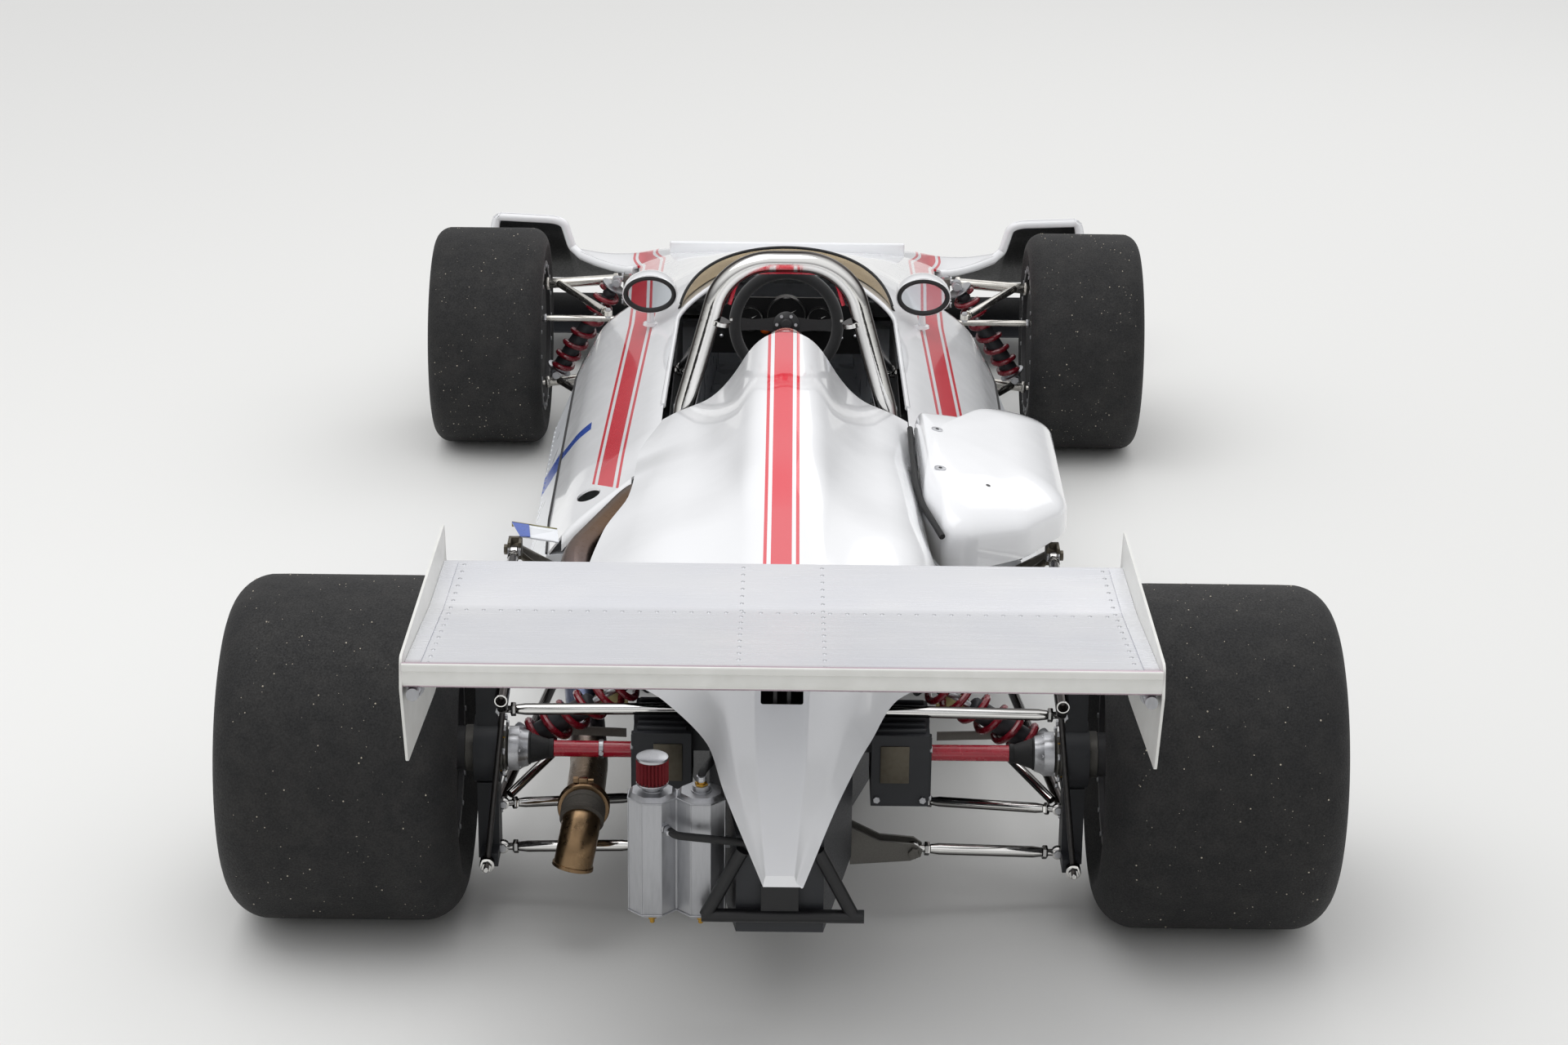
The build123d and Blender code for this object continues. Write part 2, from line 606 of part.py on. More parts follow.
def rear_subframe():
    y, z, tube = SUBFRAME["y"], SUBFRAME["z"], SUBFRAME["tube"]
    frame = rod((SUBFRAME["right"], y, z), (SUBFRAME["left"], y, z), tube)
    for hand in (1, -1):
        frame += rod((hand * SUBFRAME["leg"], y, SUBFRAME["leg_top"]), (hand * SUBFRAME["leg_foot"], y, z), tube)
    half, wall = JACK_PLATE["half"], JACK_PLATE["thickness"] / 2
    return frame + block((-half, y - wall, z), (half, y + wall, z + JACK_PLATE["height"]))


# Rear wing: (distance behind the leading edge, height above it) along the section
WING_SECTION = [
    (0, -8),
    (190, -34),
    (WING_CHORD - PLATE, WING_TE_Z - GURNEY - WING_LE_Z),
    (WING_CHORD, WING_TE_Z - GURNEY - WING_LE_Z),
    (WING_CHORD, WING_TE_Z - WING_LE_Z),
    (WING_CHORD - 3, WING_TE_Z - WING_LE_Z),
    (WING_CHORD - PLATE, WING_TE_Z - WING_LE_Z - 10),
    (250, 22),
    (0, 2),
]
END_PLATE = [(-650, 770), (-10, 806), (0, 760), (-55, 620), (-440, 565), (-630, 560), (-672, 680)]


def rear_wing():
    points = [(TAIL_Y - WING_CHORD + y, WING_LE_Z + z) for y, z in WING_SECTION]
    return panel(-WING_HALF_SPAN, points, 2 * WING_HALF_SPAN)


def wing_end_plates():
    return both(panel(WING_HALF_SPAN, [(TAIL_Y + y, z) for y, z in END_PLATE], PLATE, radius=14))


PILLAR = dict(inner=8, wall=6, foot=22, bottom=361, top=678, clearance=10)


def wing_pillar():
    low, high = PILLAR_SLOT["front"] + PILLAR["clearance"], PILLAR_SLOT["back"] - PILLAR["clearance"]
    inner, wall, bottom = PILLAR["inner"], PILLAR["wall"], PILLAR["bottom"]
    post = block((inner, low, bottom), (inner + wall, high, PILLAR["top"]))
    foot = block((inner, low, bottom), (inner + PILLAR["foot"], high, bottom + wall))
    return both(post + foot)


# Rear suspension
UPRIGHT_RING = dict(outer=58, bore=46, proud=8, sunk=6)
UPRIGHT_WEB = dict(half=30, bottom=100)
UPRIGHT_EAR = dict(reach=64, height=24, inset=6)
UPRIGHT_HORN = dict(half=26, top=430)


def rear_uprights():
    z, inner, outer = TYRES["rear"]["radius"], UPRIGHT_X - UPRIGHT_WALL / 2, UPRIGHT_X + UPRIGHT_WALL / 2
    width, meet = UPRIGHT_WALL + UPRIGHT_RING["proud"], UPRIGHT_RING["outer"] - UPRIGHT_RING["sunk"]
    hoop = Cylinder(UPRIGHT_RING["outer"], width) - Cylinder(UPRIGHT_RING["bore"], 2 * width)
    ring = Pos(UPRIGHT_X, REAR_Y, z) * Rot(0, 90, 0) * hoop
    half, bottom = UPRIGHT_WEB["half"], UPRIGHT_WEB["bottom"]
    web = block((inner, REAR_Y - half, bottom), (outer, REAR_Y + half, z - meet))
    ear = block((inner, REAR_Y, bottom),
                (outer - UPRIGHT_EAR["inset"], REAR_Y + UPRIGHT_EAR["reach"], bottom + UPRIGHT_EAR["height"]))
    half = UPRIGHT_HORN["half"]
    horn = block((inner, REAR_Y - half, z + meet), (outer, REAR_Y + half, UPRIGHT_HORN["top"]))
    return both(ring + web + ear + horn)


# start and end of each rod from the gearbox out to the upright, with its diameter
LINK_END_X = UPRIGHT_X - UPRIGHT_WALL / 2 - 4
LINKS = [
    ((228, REAR_Y + 40, 132), (LINK_END_X, REAR_Y + 10, 112), 20),
    ((240, REAR_Y - 110, 152), (LINK_END_X, REAR_Y - 20, 180), 18),
    ((GEARBOX_HALF + 2, REAR_Y + 30, 384), (LINK_END_X, REAR_Y + 15, 372), 20),
]
# clevis of the upper radius rod, carried by an arm and a brace from the corner of the tub
BRACKET = dict(x=UPRIGHT_X + 6, y=REAR_Y - 690, z=392, width=26, height=34, front=24, back=14)
BRACKET_ARM = dict(foot=26, head=16, brace=14, brace_z=200, behind=12)
TUB_CORNER = dict(inset=6, drop=20, beyond=10)
RADIUS_ROD = 20
RADIUS_RODS = [
    ((BRACKET["x"], BRACKET["y"] + BRACKET["back"] + 2, BRACKET["z"]), (UPRIGHT_X, REAR_Y - 28, 395), RADIUS_ROD),
    ((400, REAR_Y - 897, 150), (UPRIGHT_X - 8, REAR_Y - 32, 165), RADIUS_ROD),
]


def rear_links():
    rods = [rod(start, end, diameter) for start, end, diameter in LINKS]
    return both(sum(rods[1:], rods[0]))


def rod_bracket():
    """An arm from the corner of the tub out to the clevis of the upper radius rod."""
    x, y, z = BRACKET["x"], BRACKET["y"], BRACKET["z"]
    half, rise = BRACKET["width"] / 2, BRACKET["height"] / 2
    clevis = block((x - half, y - BRACKET["front"], z - rise), (x + half, y + BRACKET["back"], z + rise))
    tub_y, floor, _, _, top, top_z = TUB[-1]
    start_y, end_y = tub_y + TUB_CORNER["beyond"], y - BRACKET_ARM["behind"]
    arm = rod((top - TUB_CORNER["inset"], start_y, top_z - TUB_CORNER["drop"]), (x, end_y, z),
              BRACKET_ARM["foot"], BRACKET_ARM["head"])
    brace = rod((floor - 5 * TUB_CORNER["inset"], start_y, BRACKET_ARM["brace_z"]), (x, end_y, z - rise / 2),
                BRACKET_ARM["brace"])
    return clevis + arm + brace


def radius_rods():
    upper, lower = [rod(*row) for row in RADIUS_RODS]
    return both(Compound(children=[upper, lower, *rod_bracket().solids()]))


ROLL_BAR = dict(y=REAR_Y - 150, z=420, tube=20, arm=16, link=10, inset=30, arm_y=REAR_Y + 80, arm_z=400)


def rear_anti_roll_bar():
    x, y, z = UPRIGHT_X - ROLL_BAR["inset"], ROLL_BAR["y"], ROLL_BAR["z"]
    bar = rod((-x, y, z), (x, y, z), ROLL_BAR["tube"])
    for hand in (1, -1):
        bar += rod((hand * x, y, z), (hand * (x - 2), ROLL_BAR["arm_y"], ROLL_BAR["arm_z"]), ROLL_BAR["arm"])
        bar += rod((hand * (x - 2), ROLL_BAR["arm_y"] - 5, ROLL_BAR["arm_z"]), (hand * UPRIGHT_X, REAR_Y + 72, 112),
                   ROLL_BAR["link"])
    return bar


# lower and upper end of each spring unit, coil diameter
SPRINGS = [
    ((UPRIGHT_X - 48, REAR_Y - 70, 270), (232, REAR_Y - 55, 415), 68),
    ((KINGPIN_X - 56, FRONT_Y + 32, 170), (KINGPIN_X - 202, FRONT_Y + 45, 402), 60),
]
SPRING_WIRE = 11
SPRING_TURNS = 6
PERCH = dict(inset=16, thickness=6)
DAMPER = dict(body=30, shaft=16, body_share=0.6, eye=22)
CORNERS_PER_TURN = 6
WIRE_SIDES = 5


def along(low, high):
    a, b = Vector(*low), Vector(*high)
    return Plane(origin=a, x_dir=(0, 1, 0), z_dir=b - a), (b - a).length


def dampers():
    pieces = []
    for low, high, diameter in SPRINGS:
        unit, length = along(low, high)
        shape = upright(DAMPER["body"] / 2, length * DAMPER["body_share"]) + upright(DAMPER["shaft"] / 2, length)
        for z in (PERCH["inset"], length - PERCH["inset"]):
            shape += Pos(0, 0, z) * Cylinder(diameter / 2, PERCH["thickness"])
        for z in (0, length):
            shape += Pos(0, 0, z) * Box(DAMPER["eye"], DAMPER["eye"], DAMPER["eye"])
        pieces.append(both(unit * shape))
    return pieces[0] + pieces[1]


def springs():
    pieces = []
    for low, high, diameter in SPRINGS:
        unit, length = along(low, high)
        start = PERCH["inset"] + PERCH["thickness"] / 2 + SPRING_WIRE / 2 + GAP
        height, radius = length - 2 * start, (diameter - SPRING_WIRE) / 2
        corners = round(SPRING_TURNS * CORNERS_PER_TURN)
        points = [(radius * cos(2 * pi * step / CORNERS_PER_TURN), radius * sin(2 * pi * step / CORNERS_PER_TURN),
                   start + height * step / corners) for step in range(corners + 1)]
        path = Polyline(*points)
        section = Plane(origin=path @ 0, z_dir=path % 0) * RegularPolygon(SPRING_WIRE / 2, WIRE_SIDES)
        pieces.append(both(unit * sweep(section, path=path, transition=Transition.RIGHT)))
    return pieces[0] + pieces[1]


# Front suspension: inner pick-ups on the side of the body, ball joints at the kingpin
ARM_PICKUP_X = 374
FRONT_ARMS = dict(
    upper=[((ARM_PICKUP_X, FRONT_Y, 396), (KINGPIN_X - 8, FRONT_Y, KINGPIN_TOP + 16), 24),
           ((406, FRONT_Y + 293, 401), (KINGPIN_X - 66, FRONT_Y + 8, 383), 18)],
    lower=[((ARM_PICKUP_X - 8, FRONT_Y - 40, 150), (KINGPIN_X - 8, FRONT_Y, KINGPIN_BOTTOM - 14), 22),
           ((438, FRONT_Y + 210, 158), (KINGPIN_X - 60, FRONT_Y - 8, 140), 18)],
)
PICKUP = dict(gap=3, width=36, beyond=10, bottom=334, top=408)


def front_wishbones():
    near, far = TUB[1][4] + PICKUP["gap"], ARM_PICKUP_X + PICKUP["beyond"]
    half = PICKUP["width"] / 2
    bracket = block((near, FRONT_Y - half, PICKUP["bottom"]), (far, FRONT_Y + half, PICKUP["top"]))
    upper = [rod(*row) for row in FRONT_ARMS["upper"]]
    lower = [rod(*row) for row in FRONT_ARMS["lower"]]
    return both(upper[0] + upper[1] + bracket) + both(lower[0] + lower[1])


HUB_CARRIER = dict(diameter=80, inboard=8)
ARM_PAD = dict(inset=12, radius=12, height=16)
TIE_EYE = dict(radius=11, height=18)
RACK_HALF = 330
# caliper ahead of the hub: wall beside the disc, y span ahead of the hub, half height, wall ahead of the disc
FRONT_CALIPER = dict(wall=26, front=128, back=72, half_height=42, bridge=1)
CALIPER_LUG = dict(overlap=10, front=90, half_height=16, short=18)


def front_knuckle(hand):
    z = TYRES["front"]["radius"]
    post = rod((KINGPIN_X, FRONT_Y, KINGPIN_BOTTOM), (KINGPIN_X, FRONT_Y, KINGPIN_TOP), KINGPIN_POST)
    hub_face = TYRES["front"]["half_track"] - TYRES["front"]["hub_back"] - RUNNING_GAP
    bearing = rod((KINGPIN_X - HUB_CARRIER["inboard"], FRONT_Y, z), (hub_face, FRONT_Y, z), HUB_CARRIER["diameter"])
    pad_x, pad_y, arm_z = KINGPIN_X - ARM_PAD["inset"], FRONT_Y + STEER_ARM, TIE_Z - STEER_ARM_DROP
    arm = rod((KINGPIN_X, FRONT_Y + 10, arm_z), (pad_x, pad_y, arm_z), TIE_ROD)
    pad = Pos(pad_x, pad_y, arm_z) * Cylinder(ARM_PAD["radius"], ARM_PAD["height"])
    disc_x, disc = TYRES["front"]["half_track"] - FRONT_DISC["inset"], FRONT_DISC["thickness"]
    wall, half = FRONT_CALIPER["wall"], FRONT_CALIPER["half_height"]
    front, back = FRONT_Y - FRONT_CALIPER["front"], FRONT_Y - FRONT_CALIPER["back"]
    caliper = block((disc_x - wall, front, z - half), (disc_x + disc + wall, back, z + half))
    caliper -= block((disc_x - RUNNING_GAP, front + FRONT_CALIPER["bridge"], z - 2 * half),
                     (disc_x + disc + RUNNING_GAP, FRONT_Y, z + 2 * half))
    rise = CALIPER_LUG["half_height"]
    lug = block((KINGPIN_X - CALIPER_LUG["overlap"], FRONT_Y - CALIPER_LUG["front"], z - rise),
                (disc_x - CALIPER_LUG["short"], FRONT_Y, z + rise))
    return side(post + bearing + arm + pad + caliper + lug, hand)


def tie_rods():
    x, y = KINGPIN_X - ARM_PAD["inset"], FRONT_Y + STEER_ARM
    eye_z = TIE_Z - STEER_ARM_DROP + ARM_PAD["height"] / 2 + EYE_GAP
    shape = rod((-RACK_HALF, y, TIE_Z), (RACK_HALF, y, TIE_Z), RACK_TUBE)
    for hand in (1, -1):
        shape += rod((hand * (RACK_HALF - 10), y, TIE_Z), (hand * (x - 8), y, TIE_Z), TIE_ROD)
        shape += Pos(hand * x, y, eye_z) * upright(TIE_EYE["radius"], TIE_EYE["height"])
    return shape


# Wheels
def wheel_centre(size):
    spec = TYRES[size]
    return Pos(spec["half_track"], FRONT_Y if size == "front" else REAR_Y, spec["radius"])


def wheel(size, hand):
    spec = TYRES[size]
    w, r, face = spec["rim_width"] / 2, RIM_RADIUS, spec["face"]
    barrel = spun([(-w, r + RIM_LIP), (-w, r - RIM_WALL), (w, r - RIM_WALL), (w, r + RIM_LIP),
                   (w - RIM_FLANGE, r + RIM_LIP), (w - RIM_FLANGE, r), (RIM_FLANGE - w, r),
                   (RIM_FLANGE - w, r + RIM_LIP)])
    disc = spun([(face, 0), (face, r - 3), (face + 10, r - 3), (face + DISC_WALL, 60), (face + DISC_WALL, 0)])
    window = Pos(face, WINDOWS["ring"], 0) * Rot(0, 90, 0) * Cylinder(WINDOWS["radius"], 60)
    disc = disc - [Rot(360 / WINDOWS["count"] * index, 0, 0) * window for index in range(WINDOWS["count"])]
    nut = extrude(RegularPolygon(WHEEL_NUT["radius"], 6), WHEEL_NUT["height"])
    hub = spun([(-spec["hub_back"], 0), (-spec["hub_back"], HUB_RADIUS), (face + 2, HUB_RADIUS), (face + 2, 0)])
    shape = barrel + disc + Pos(face + DISC_WALL, 0, 0) * Rot(0, 90, 0) * nut + hub
    if size == "front":
        inset, radius = -FRONT_DISC["inset"], FRONT_DISC["radius"]
        shape += Pos(inset, 0, 0) * Rot(0, 90, 0) * upright(radius, FRONT_DISC["thickness"])
    return side(wheel_centre(size) * shape, hand)


def tyre(size, hand):
    spec = TYRES[size]
    half, big, shoulder = spec["section"] / 2, spec["radius"], spec["shoulder"]
    tread, seat_x = half - shoulder, spec["rim_width"] / 2 - RIM_FLANGE - GAP
    bead = RIM_RADIUS + GAP
    edges = [Line((-tread, big), (tread, big)), Line((-seat_x, bead), (seat_x, bead))]
    for hand_x in (1, -1):
        edges += [
            TangentArc((hand_x * tread, big), (hand_x * half, big - shoulder), tangent=(hand_x, 0)),
            Line((hand_x * half, big - shoulder), (hand_x * seat_x, bead + BEAD)),
            Line((hand_x * seat_x, bead + BEAD), (hand_x * seat_x, bead)),
        ]
    return side(wheel_centre(size) * revolve(make_face(edges), Axis.X), hand)


CUP = dict(diameter=80, length=75)
BOOT = dict(small=44, large=76, length=32)


def drive_shaft(hand):
    z, outer = TYRES["rear"]["radius"], TYRES["rear"]["half_track"] - TYRES["rear"]["hub_back"] - GAP
    cup_x = outer - CUP["length"]
    boot_x = cup_x - BOOT["length"]
    shaft = rod((CALIPER["outer"] - 32, REAR_Y, z), (boot_x + 2, REAR_Y, z), SHAFT)
    boot = rod((boot_x, REAR_Y, z), (cup_x, REAR_Y, z), BOOT["small"], BOOT["large"])
    cup = rod((cup_x, REAR_Y, z), (outer, REAR_Y, z), CUP["diameter"])
    return side(shaft + boot + cup, hand)


PIECES = [
    monocoque_tub, cockpit_surround, nose_cowl, windscreen, mirrors, mirror_glasses, roll_hoop, seat, dashboard,
    steering_wheel, gear_lever, engine_cover, tail_fairing, airbox, engine_block, gearbox, exhaust_manifold,
    exhaust_tailpipe, rear_calipers, catch_tanks, breather_filter, rear_subframe, rear_wing, wing_end_plates,
    wing_pillar, rear_uprights, rear_links, radius_rods, rear_anti_roll_bar, dampers, springs, front_wishbones,
    tie_rods,
]
for piece in PIECES:
    save(piece.__name__, piece())
for hand, name in ((1, "left"), (-1, "right")):
    save(f"front_{name}_knuckle", front_knuckle(hand))
    save(f"rear_{name}_drive_shaft", drive_shaft(hand))
    for size in TYRES:
        save(f"{size}_{name}_rim", wheel(size, hand))
        save(f"{size}_{name}_tyre", tyre(size, hand))
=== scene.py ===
import random
from math import cos, pi, radians, sin, sqrt, tan
import bmesh
import bpy
import numpy as np
from mathutils import Matrix, Vector
from mathutils.bvhtree import BVHTree


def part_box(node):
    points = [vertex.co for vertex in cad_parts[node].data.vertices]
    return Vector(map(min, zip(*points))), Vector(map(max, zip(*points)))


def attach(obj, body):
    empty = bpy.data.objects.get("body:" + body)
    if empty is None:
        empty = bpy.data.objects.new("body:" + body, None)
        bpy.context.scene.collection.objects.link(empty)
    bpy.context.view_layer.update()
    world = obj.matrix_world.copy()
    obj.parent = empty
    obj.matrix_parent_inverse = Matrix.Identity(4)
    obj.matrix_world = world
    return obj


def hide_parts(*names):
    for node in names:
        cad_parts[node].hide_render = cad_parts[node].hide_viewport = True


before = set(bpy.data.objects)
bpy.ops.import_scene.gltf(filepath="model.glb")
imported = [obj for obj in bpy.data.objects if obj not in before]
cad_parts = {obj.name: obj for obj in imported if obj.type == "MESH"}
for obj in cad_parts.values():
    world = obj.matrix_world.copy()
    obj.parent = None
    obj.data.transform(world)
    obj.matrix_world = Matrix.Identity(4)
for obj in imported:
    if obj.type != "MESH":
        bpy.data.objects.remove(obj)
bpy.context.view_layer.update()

# Open wheel racing car, about 1971. Shapes below are in millimetres, made into metres when a piece is built.
# +Z up, +Y towards the tail, +X the car's left, floor at z = 0.


# materials

def toLinear(hexColour):
    parts = [int(hexColour[i:i + 2], 16) / 255 for i in (1, 3, 5)]
    return [part / 12.92 if part <= 0.04045 else ((part + 0.055) / 1.055) ** 2.4 for part in parts] + [1]


def addNode(tree, kind, inputs=None, **settings):
    node = tree.nodes.new("ShaderNode" + kind)
    for name, value in settings.items():
        setattr(node, name, value)
    for name, value in (inputs or {}).items():
        if isinstance(value, bpy.types.NodeSocket):
            tree.links.new(value, node.inputs[name])
        else:
            node.inputs[name].default_value = value
    return node


def newMaterial(name, colour, roughness, metallic=0.0, **extras):
    material = bpy.data.materials.new(name)
    material.use_nodes = True
    tree = material.node_tree
    shader = tree.nodes["Principled BSDF"]
    shader.inputs["Base Color"].default_value = toLinear(colour)
    shader.inputs["Roughness"].default_value = roughness
    shader.inputs["Metallic"].default_value = metallic
    for socket, value in extras.items():
        shader.inputs[socket.replace("_", " ")].default_value = value
    return material, tree, shader


def grainOn(tree, shader, sizeMm, roughness, bump, stretch=(1, 1, 1), detail=3):
    # grain of a real size in mm that moves the roughness between two values and gives a fine bump
    coords = addNode(tree, "TexCoord").outputs["Object"]
    mapped = addNode(tree, "Mapping", {0: coords, "Scale": stretch}).outputs[0]
    grain = addNode(tree, "TexNoise", {"Vector": mapped, "Scale": 1000 / sizeMm, "Detail": detail}).outputs[0]
    spread = addNode(tree, "MapRange", {0: grain, 1: 0.3, 2: 0.7, 3: roughness[0], 4: roughness[1]}).outputs[0]
    tree.links.new(spread, shader.inputs["Roughness"])
    if bump:
        raised = addNode(tree, "Bump", {"Height": grain, "Strength": bump[0], "Distance": bump[1] / 1000})
        tree.links.new(raised.outputs[0], shader.inputs["Normal"])
    return coords, grain


def tinted(tree, shader, factor, first, second):
    # two colours, or a colour already in the tree and one more, mixed by a factor on the base colour
    first, second = [toLinear(colour) if isinstance(colour, str) else colour for colour in (first, second)]
    mixed = addNode(tree, "Mix", {0: factor, 6: first, 7: second}, data_type="RGBA").outputs[2]
    tree.links.new(mixed, shader.inputs["Base Color"])
    return mixed


def rampColours(ramp, stops):
    # the stops (place, linear colour) set on a colour ramp
    while len(ramp.color_ramp.elements) < len(stops):
        ramp.color_ramp.elements.new(0.5)
    for element, (at, colour) in zip(ramp.color_ramp.elements, stops):
        element.position, element.color = at, colour


# red stripes: half widths in mm, and for the two side stripes their distance from the car's middle, as ranges
# along the car and the distances there, in m, and the slope on which they end at the back
stripe = {"white": "#eff0f2", "red": "#db1c33", "band": 18, "gap": 25, "edge": 31, "shift": 4,
          "side": [(-1.48, -0.70, 0.0, -0.008, "LINEAR"), (-0.70, 0.375, 0.327, 0.360, "LINEAR"),
                   (-1.66, -1.48, 0.025, 0.0, "SMOOTHSTEP")],
          "end": (-2.18, 1.077)}
blueLine = {"flank": ((-140, 388), (-190, 300), 20), "sill": ((-190, 300), (-310, 200), 36), "blue": "#1f4fb4",
            "leftOf": 0.3}


def redMask(tree, distance):
    # 1 on the broad middle band and on the two thin lines beside it, from the distance to the middle in m
    broad = addNode(tree, "Math", {0: distance, 1: stripe["band"] / 1000}, operation="LESS_THAN").outputs[0]
    inside = addNode(tree, "Math", {0: distance, 1: stripe["gap"] / 1000}, operation="GREATER_THAN").outputs[0]
    outside = addNode(tree, "Math", {0: distance, 1: stripe["edge"] / 1000}, operation="LESS_THAN").outputs[0]
    line = addNode(tree, "Math", {0: inside, 1: outside}, operation="MULTIPLY").outputs[0]
    return addNode(tree, "Math", {0: broad, 1: line}, operation="MAXIMUM").outputs[0]


def middleStripe(tree, parts):
    shifted = addNode(tree, "Math", {0: parts[0], 1: stripe["shift"] / 1000}, operation="SUBTRACT").outputs[0]
    return redMask(tree, addNode(tree, "Math", {0: shifted}, operation="ABSOLUTE").outputs[0])


def sideStripes(tree, parts):
    across, middle = addNode(tree, "Math", {0: parts[0]}, operation="ABSOLUTE").outputs[0], 0.0
    for start, end, first, last, blend in stripe["side"]:
        place = addNode(tree, "MapRange", {0: parts[1], 1: start, 2: end, 3: first, 4: last},
                        interpolation_type=blend)
        middle = addNode(tree, "Math", {0: middle, 1: place.outputs[0]}, operation="ADD").outputs[0]
    apart = addNode(tree, "Math", {0: across, 1: middle}, operation="SUBTRACT").outputs[0]
    mask = redMask(tree, addNode(tree, "Math", {0: apart}, operation="ABSOLUTE").outputs[0])
    slope, reach = stripe["end"]
    end = addNode(tree, "Math", {0: across, 1: slope, 2: reach}, operation="MULTIPLY_ADD").outputs[0]
    ahead = addNode(tree, "Math", {0: parts[1], 1: end}, operation="LESS_THAN").outputs[0]
    return addNode(tree, "Math", {0: mask, 1: ahead}, operation="MULTIPLY").outputs[0]


def blueBand(tree, shader, parts, under, place):
    # the blue line that crosses the left flank and the sill on a slant
    (y1, z1), (y2, z2), half = blueLine[place]
    length = sqrt((y1 - y2) ** 2 + (z1 - z2) ** 2)
    point = addNode(tree, "CombineXYZ", {0: parts[1], 1: parts[2]}).outputs[0]
    across = addNode(tree, "VectorMath", {0: point, 1: ((z1 - z2) / length, -(y1 - y2) / length, 0)},
                     operation="DOT_PRODUCT").outputs["Value"]
    offset = ((z1 - z2) * y1 - (y1 - y2) * z1) / length / 1000
    apart = addNode(tree, "Math", {0: across, 1: offset}, operation="SUBTRACT").outputs[0]
    apart = addNode(tree, "Math", {0: apart}, operation="ABSOLUTE").outputs[0]
    mask = addNode(tree, "Math", {0: apart, 1: half / 1000}, operation="LESS_THAN").outputs[0]
    left = addNode(tree, "Math", {0: parts[0], 1: blueLine["leftOf"]}, operation="GREATER_THAN").outputs[0]
    low = addNode(tree, "Math", {0: parts[2], 1: z1 / 1000}, operation="LESS_THAN").outputs[0]
    for limit in (left, low):
        mask = addNode(tree, "Math", {0: mask, 1: limit}, operation="MULTIPLY").outputs[0]
    tinted(tree, shader, mask, under, blueLine["blue"])


def glossPaint(name, stripes):
    # two-pack gloss on glass fibre: a clear shine over flat white, with polish marks that shift it a little
    material, tree, shader = newMaterial(name, stripe["white"], 0.25, Coat_Weight=0.9, Coat_Roughness=0.04)
    coords, _ = grainOn(tree, shader, 45, (0.17, 0.26), None)
    if stripes:
        parts = addNode(tree, "SeparateXYZ", {0: coords}).outputs
        white = tinted(tree, shader, stripes(tree, parts), stripe["white"], stripe["red"])
        blueBand(tree, shader, parts, white, "flank")
    return material


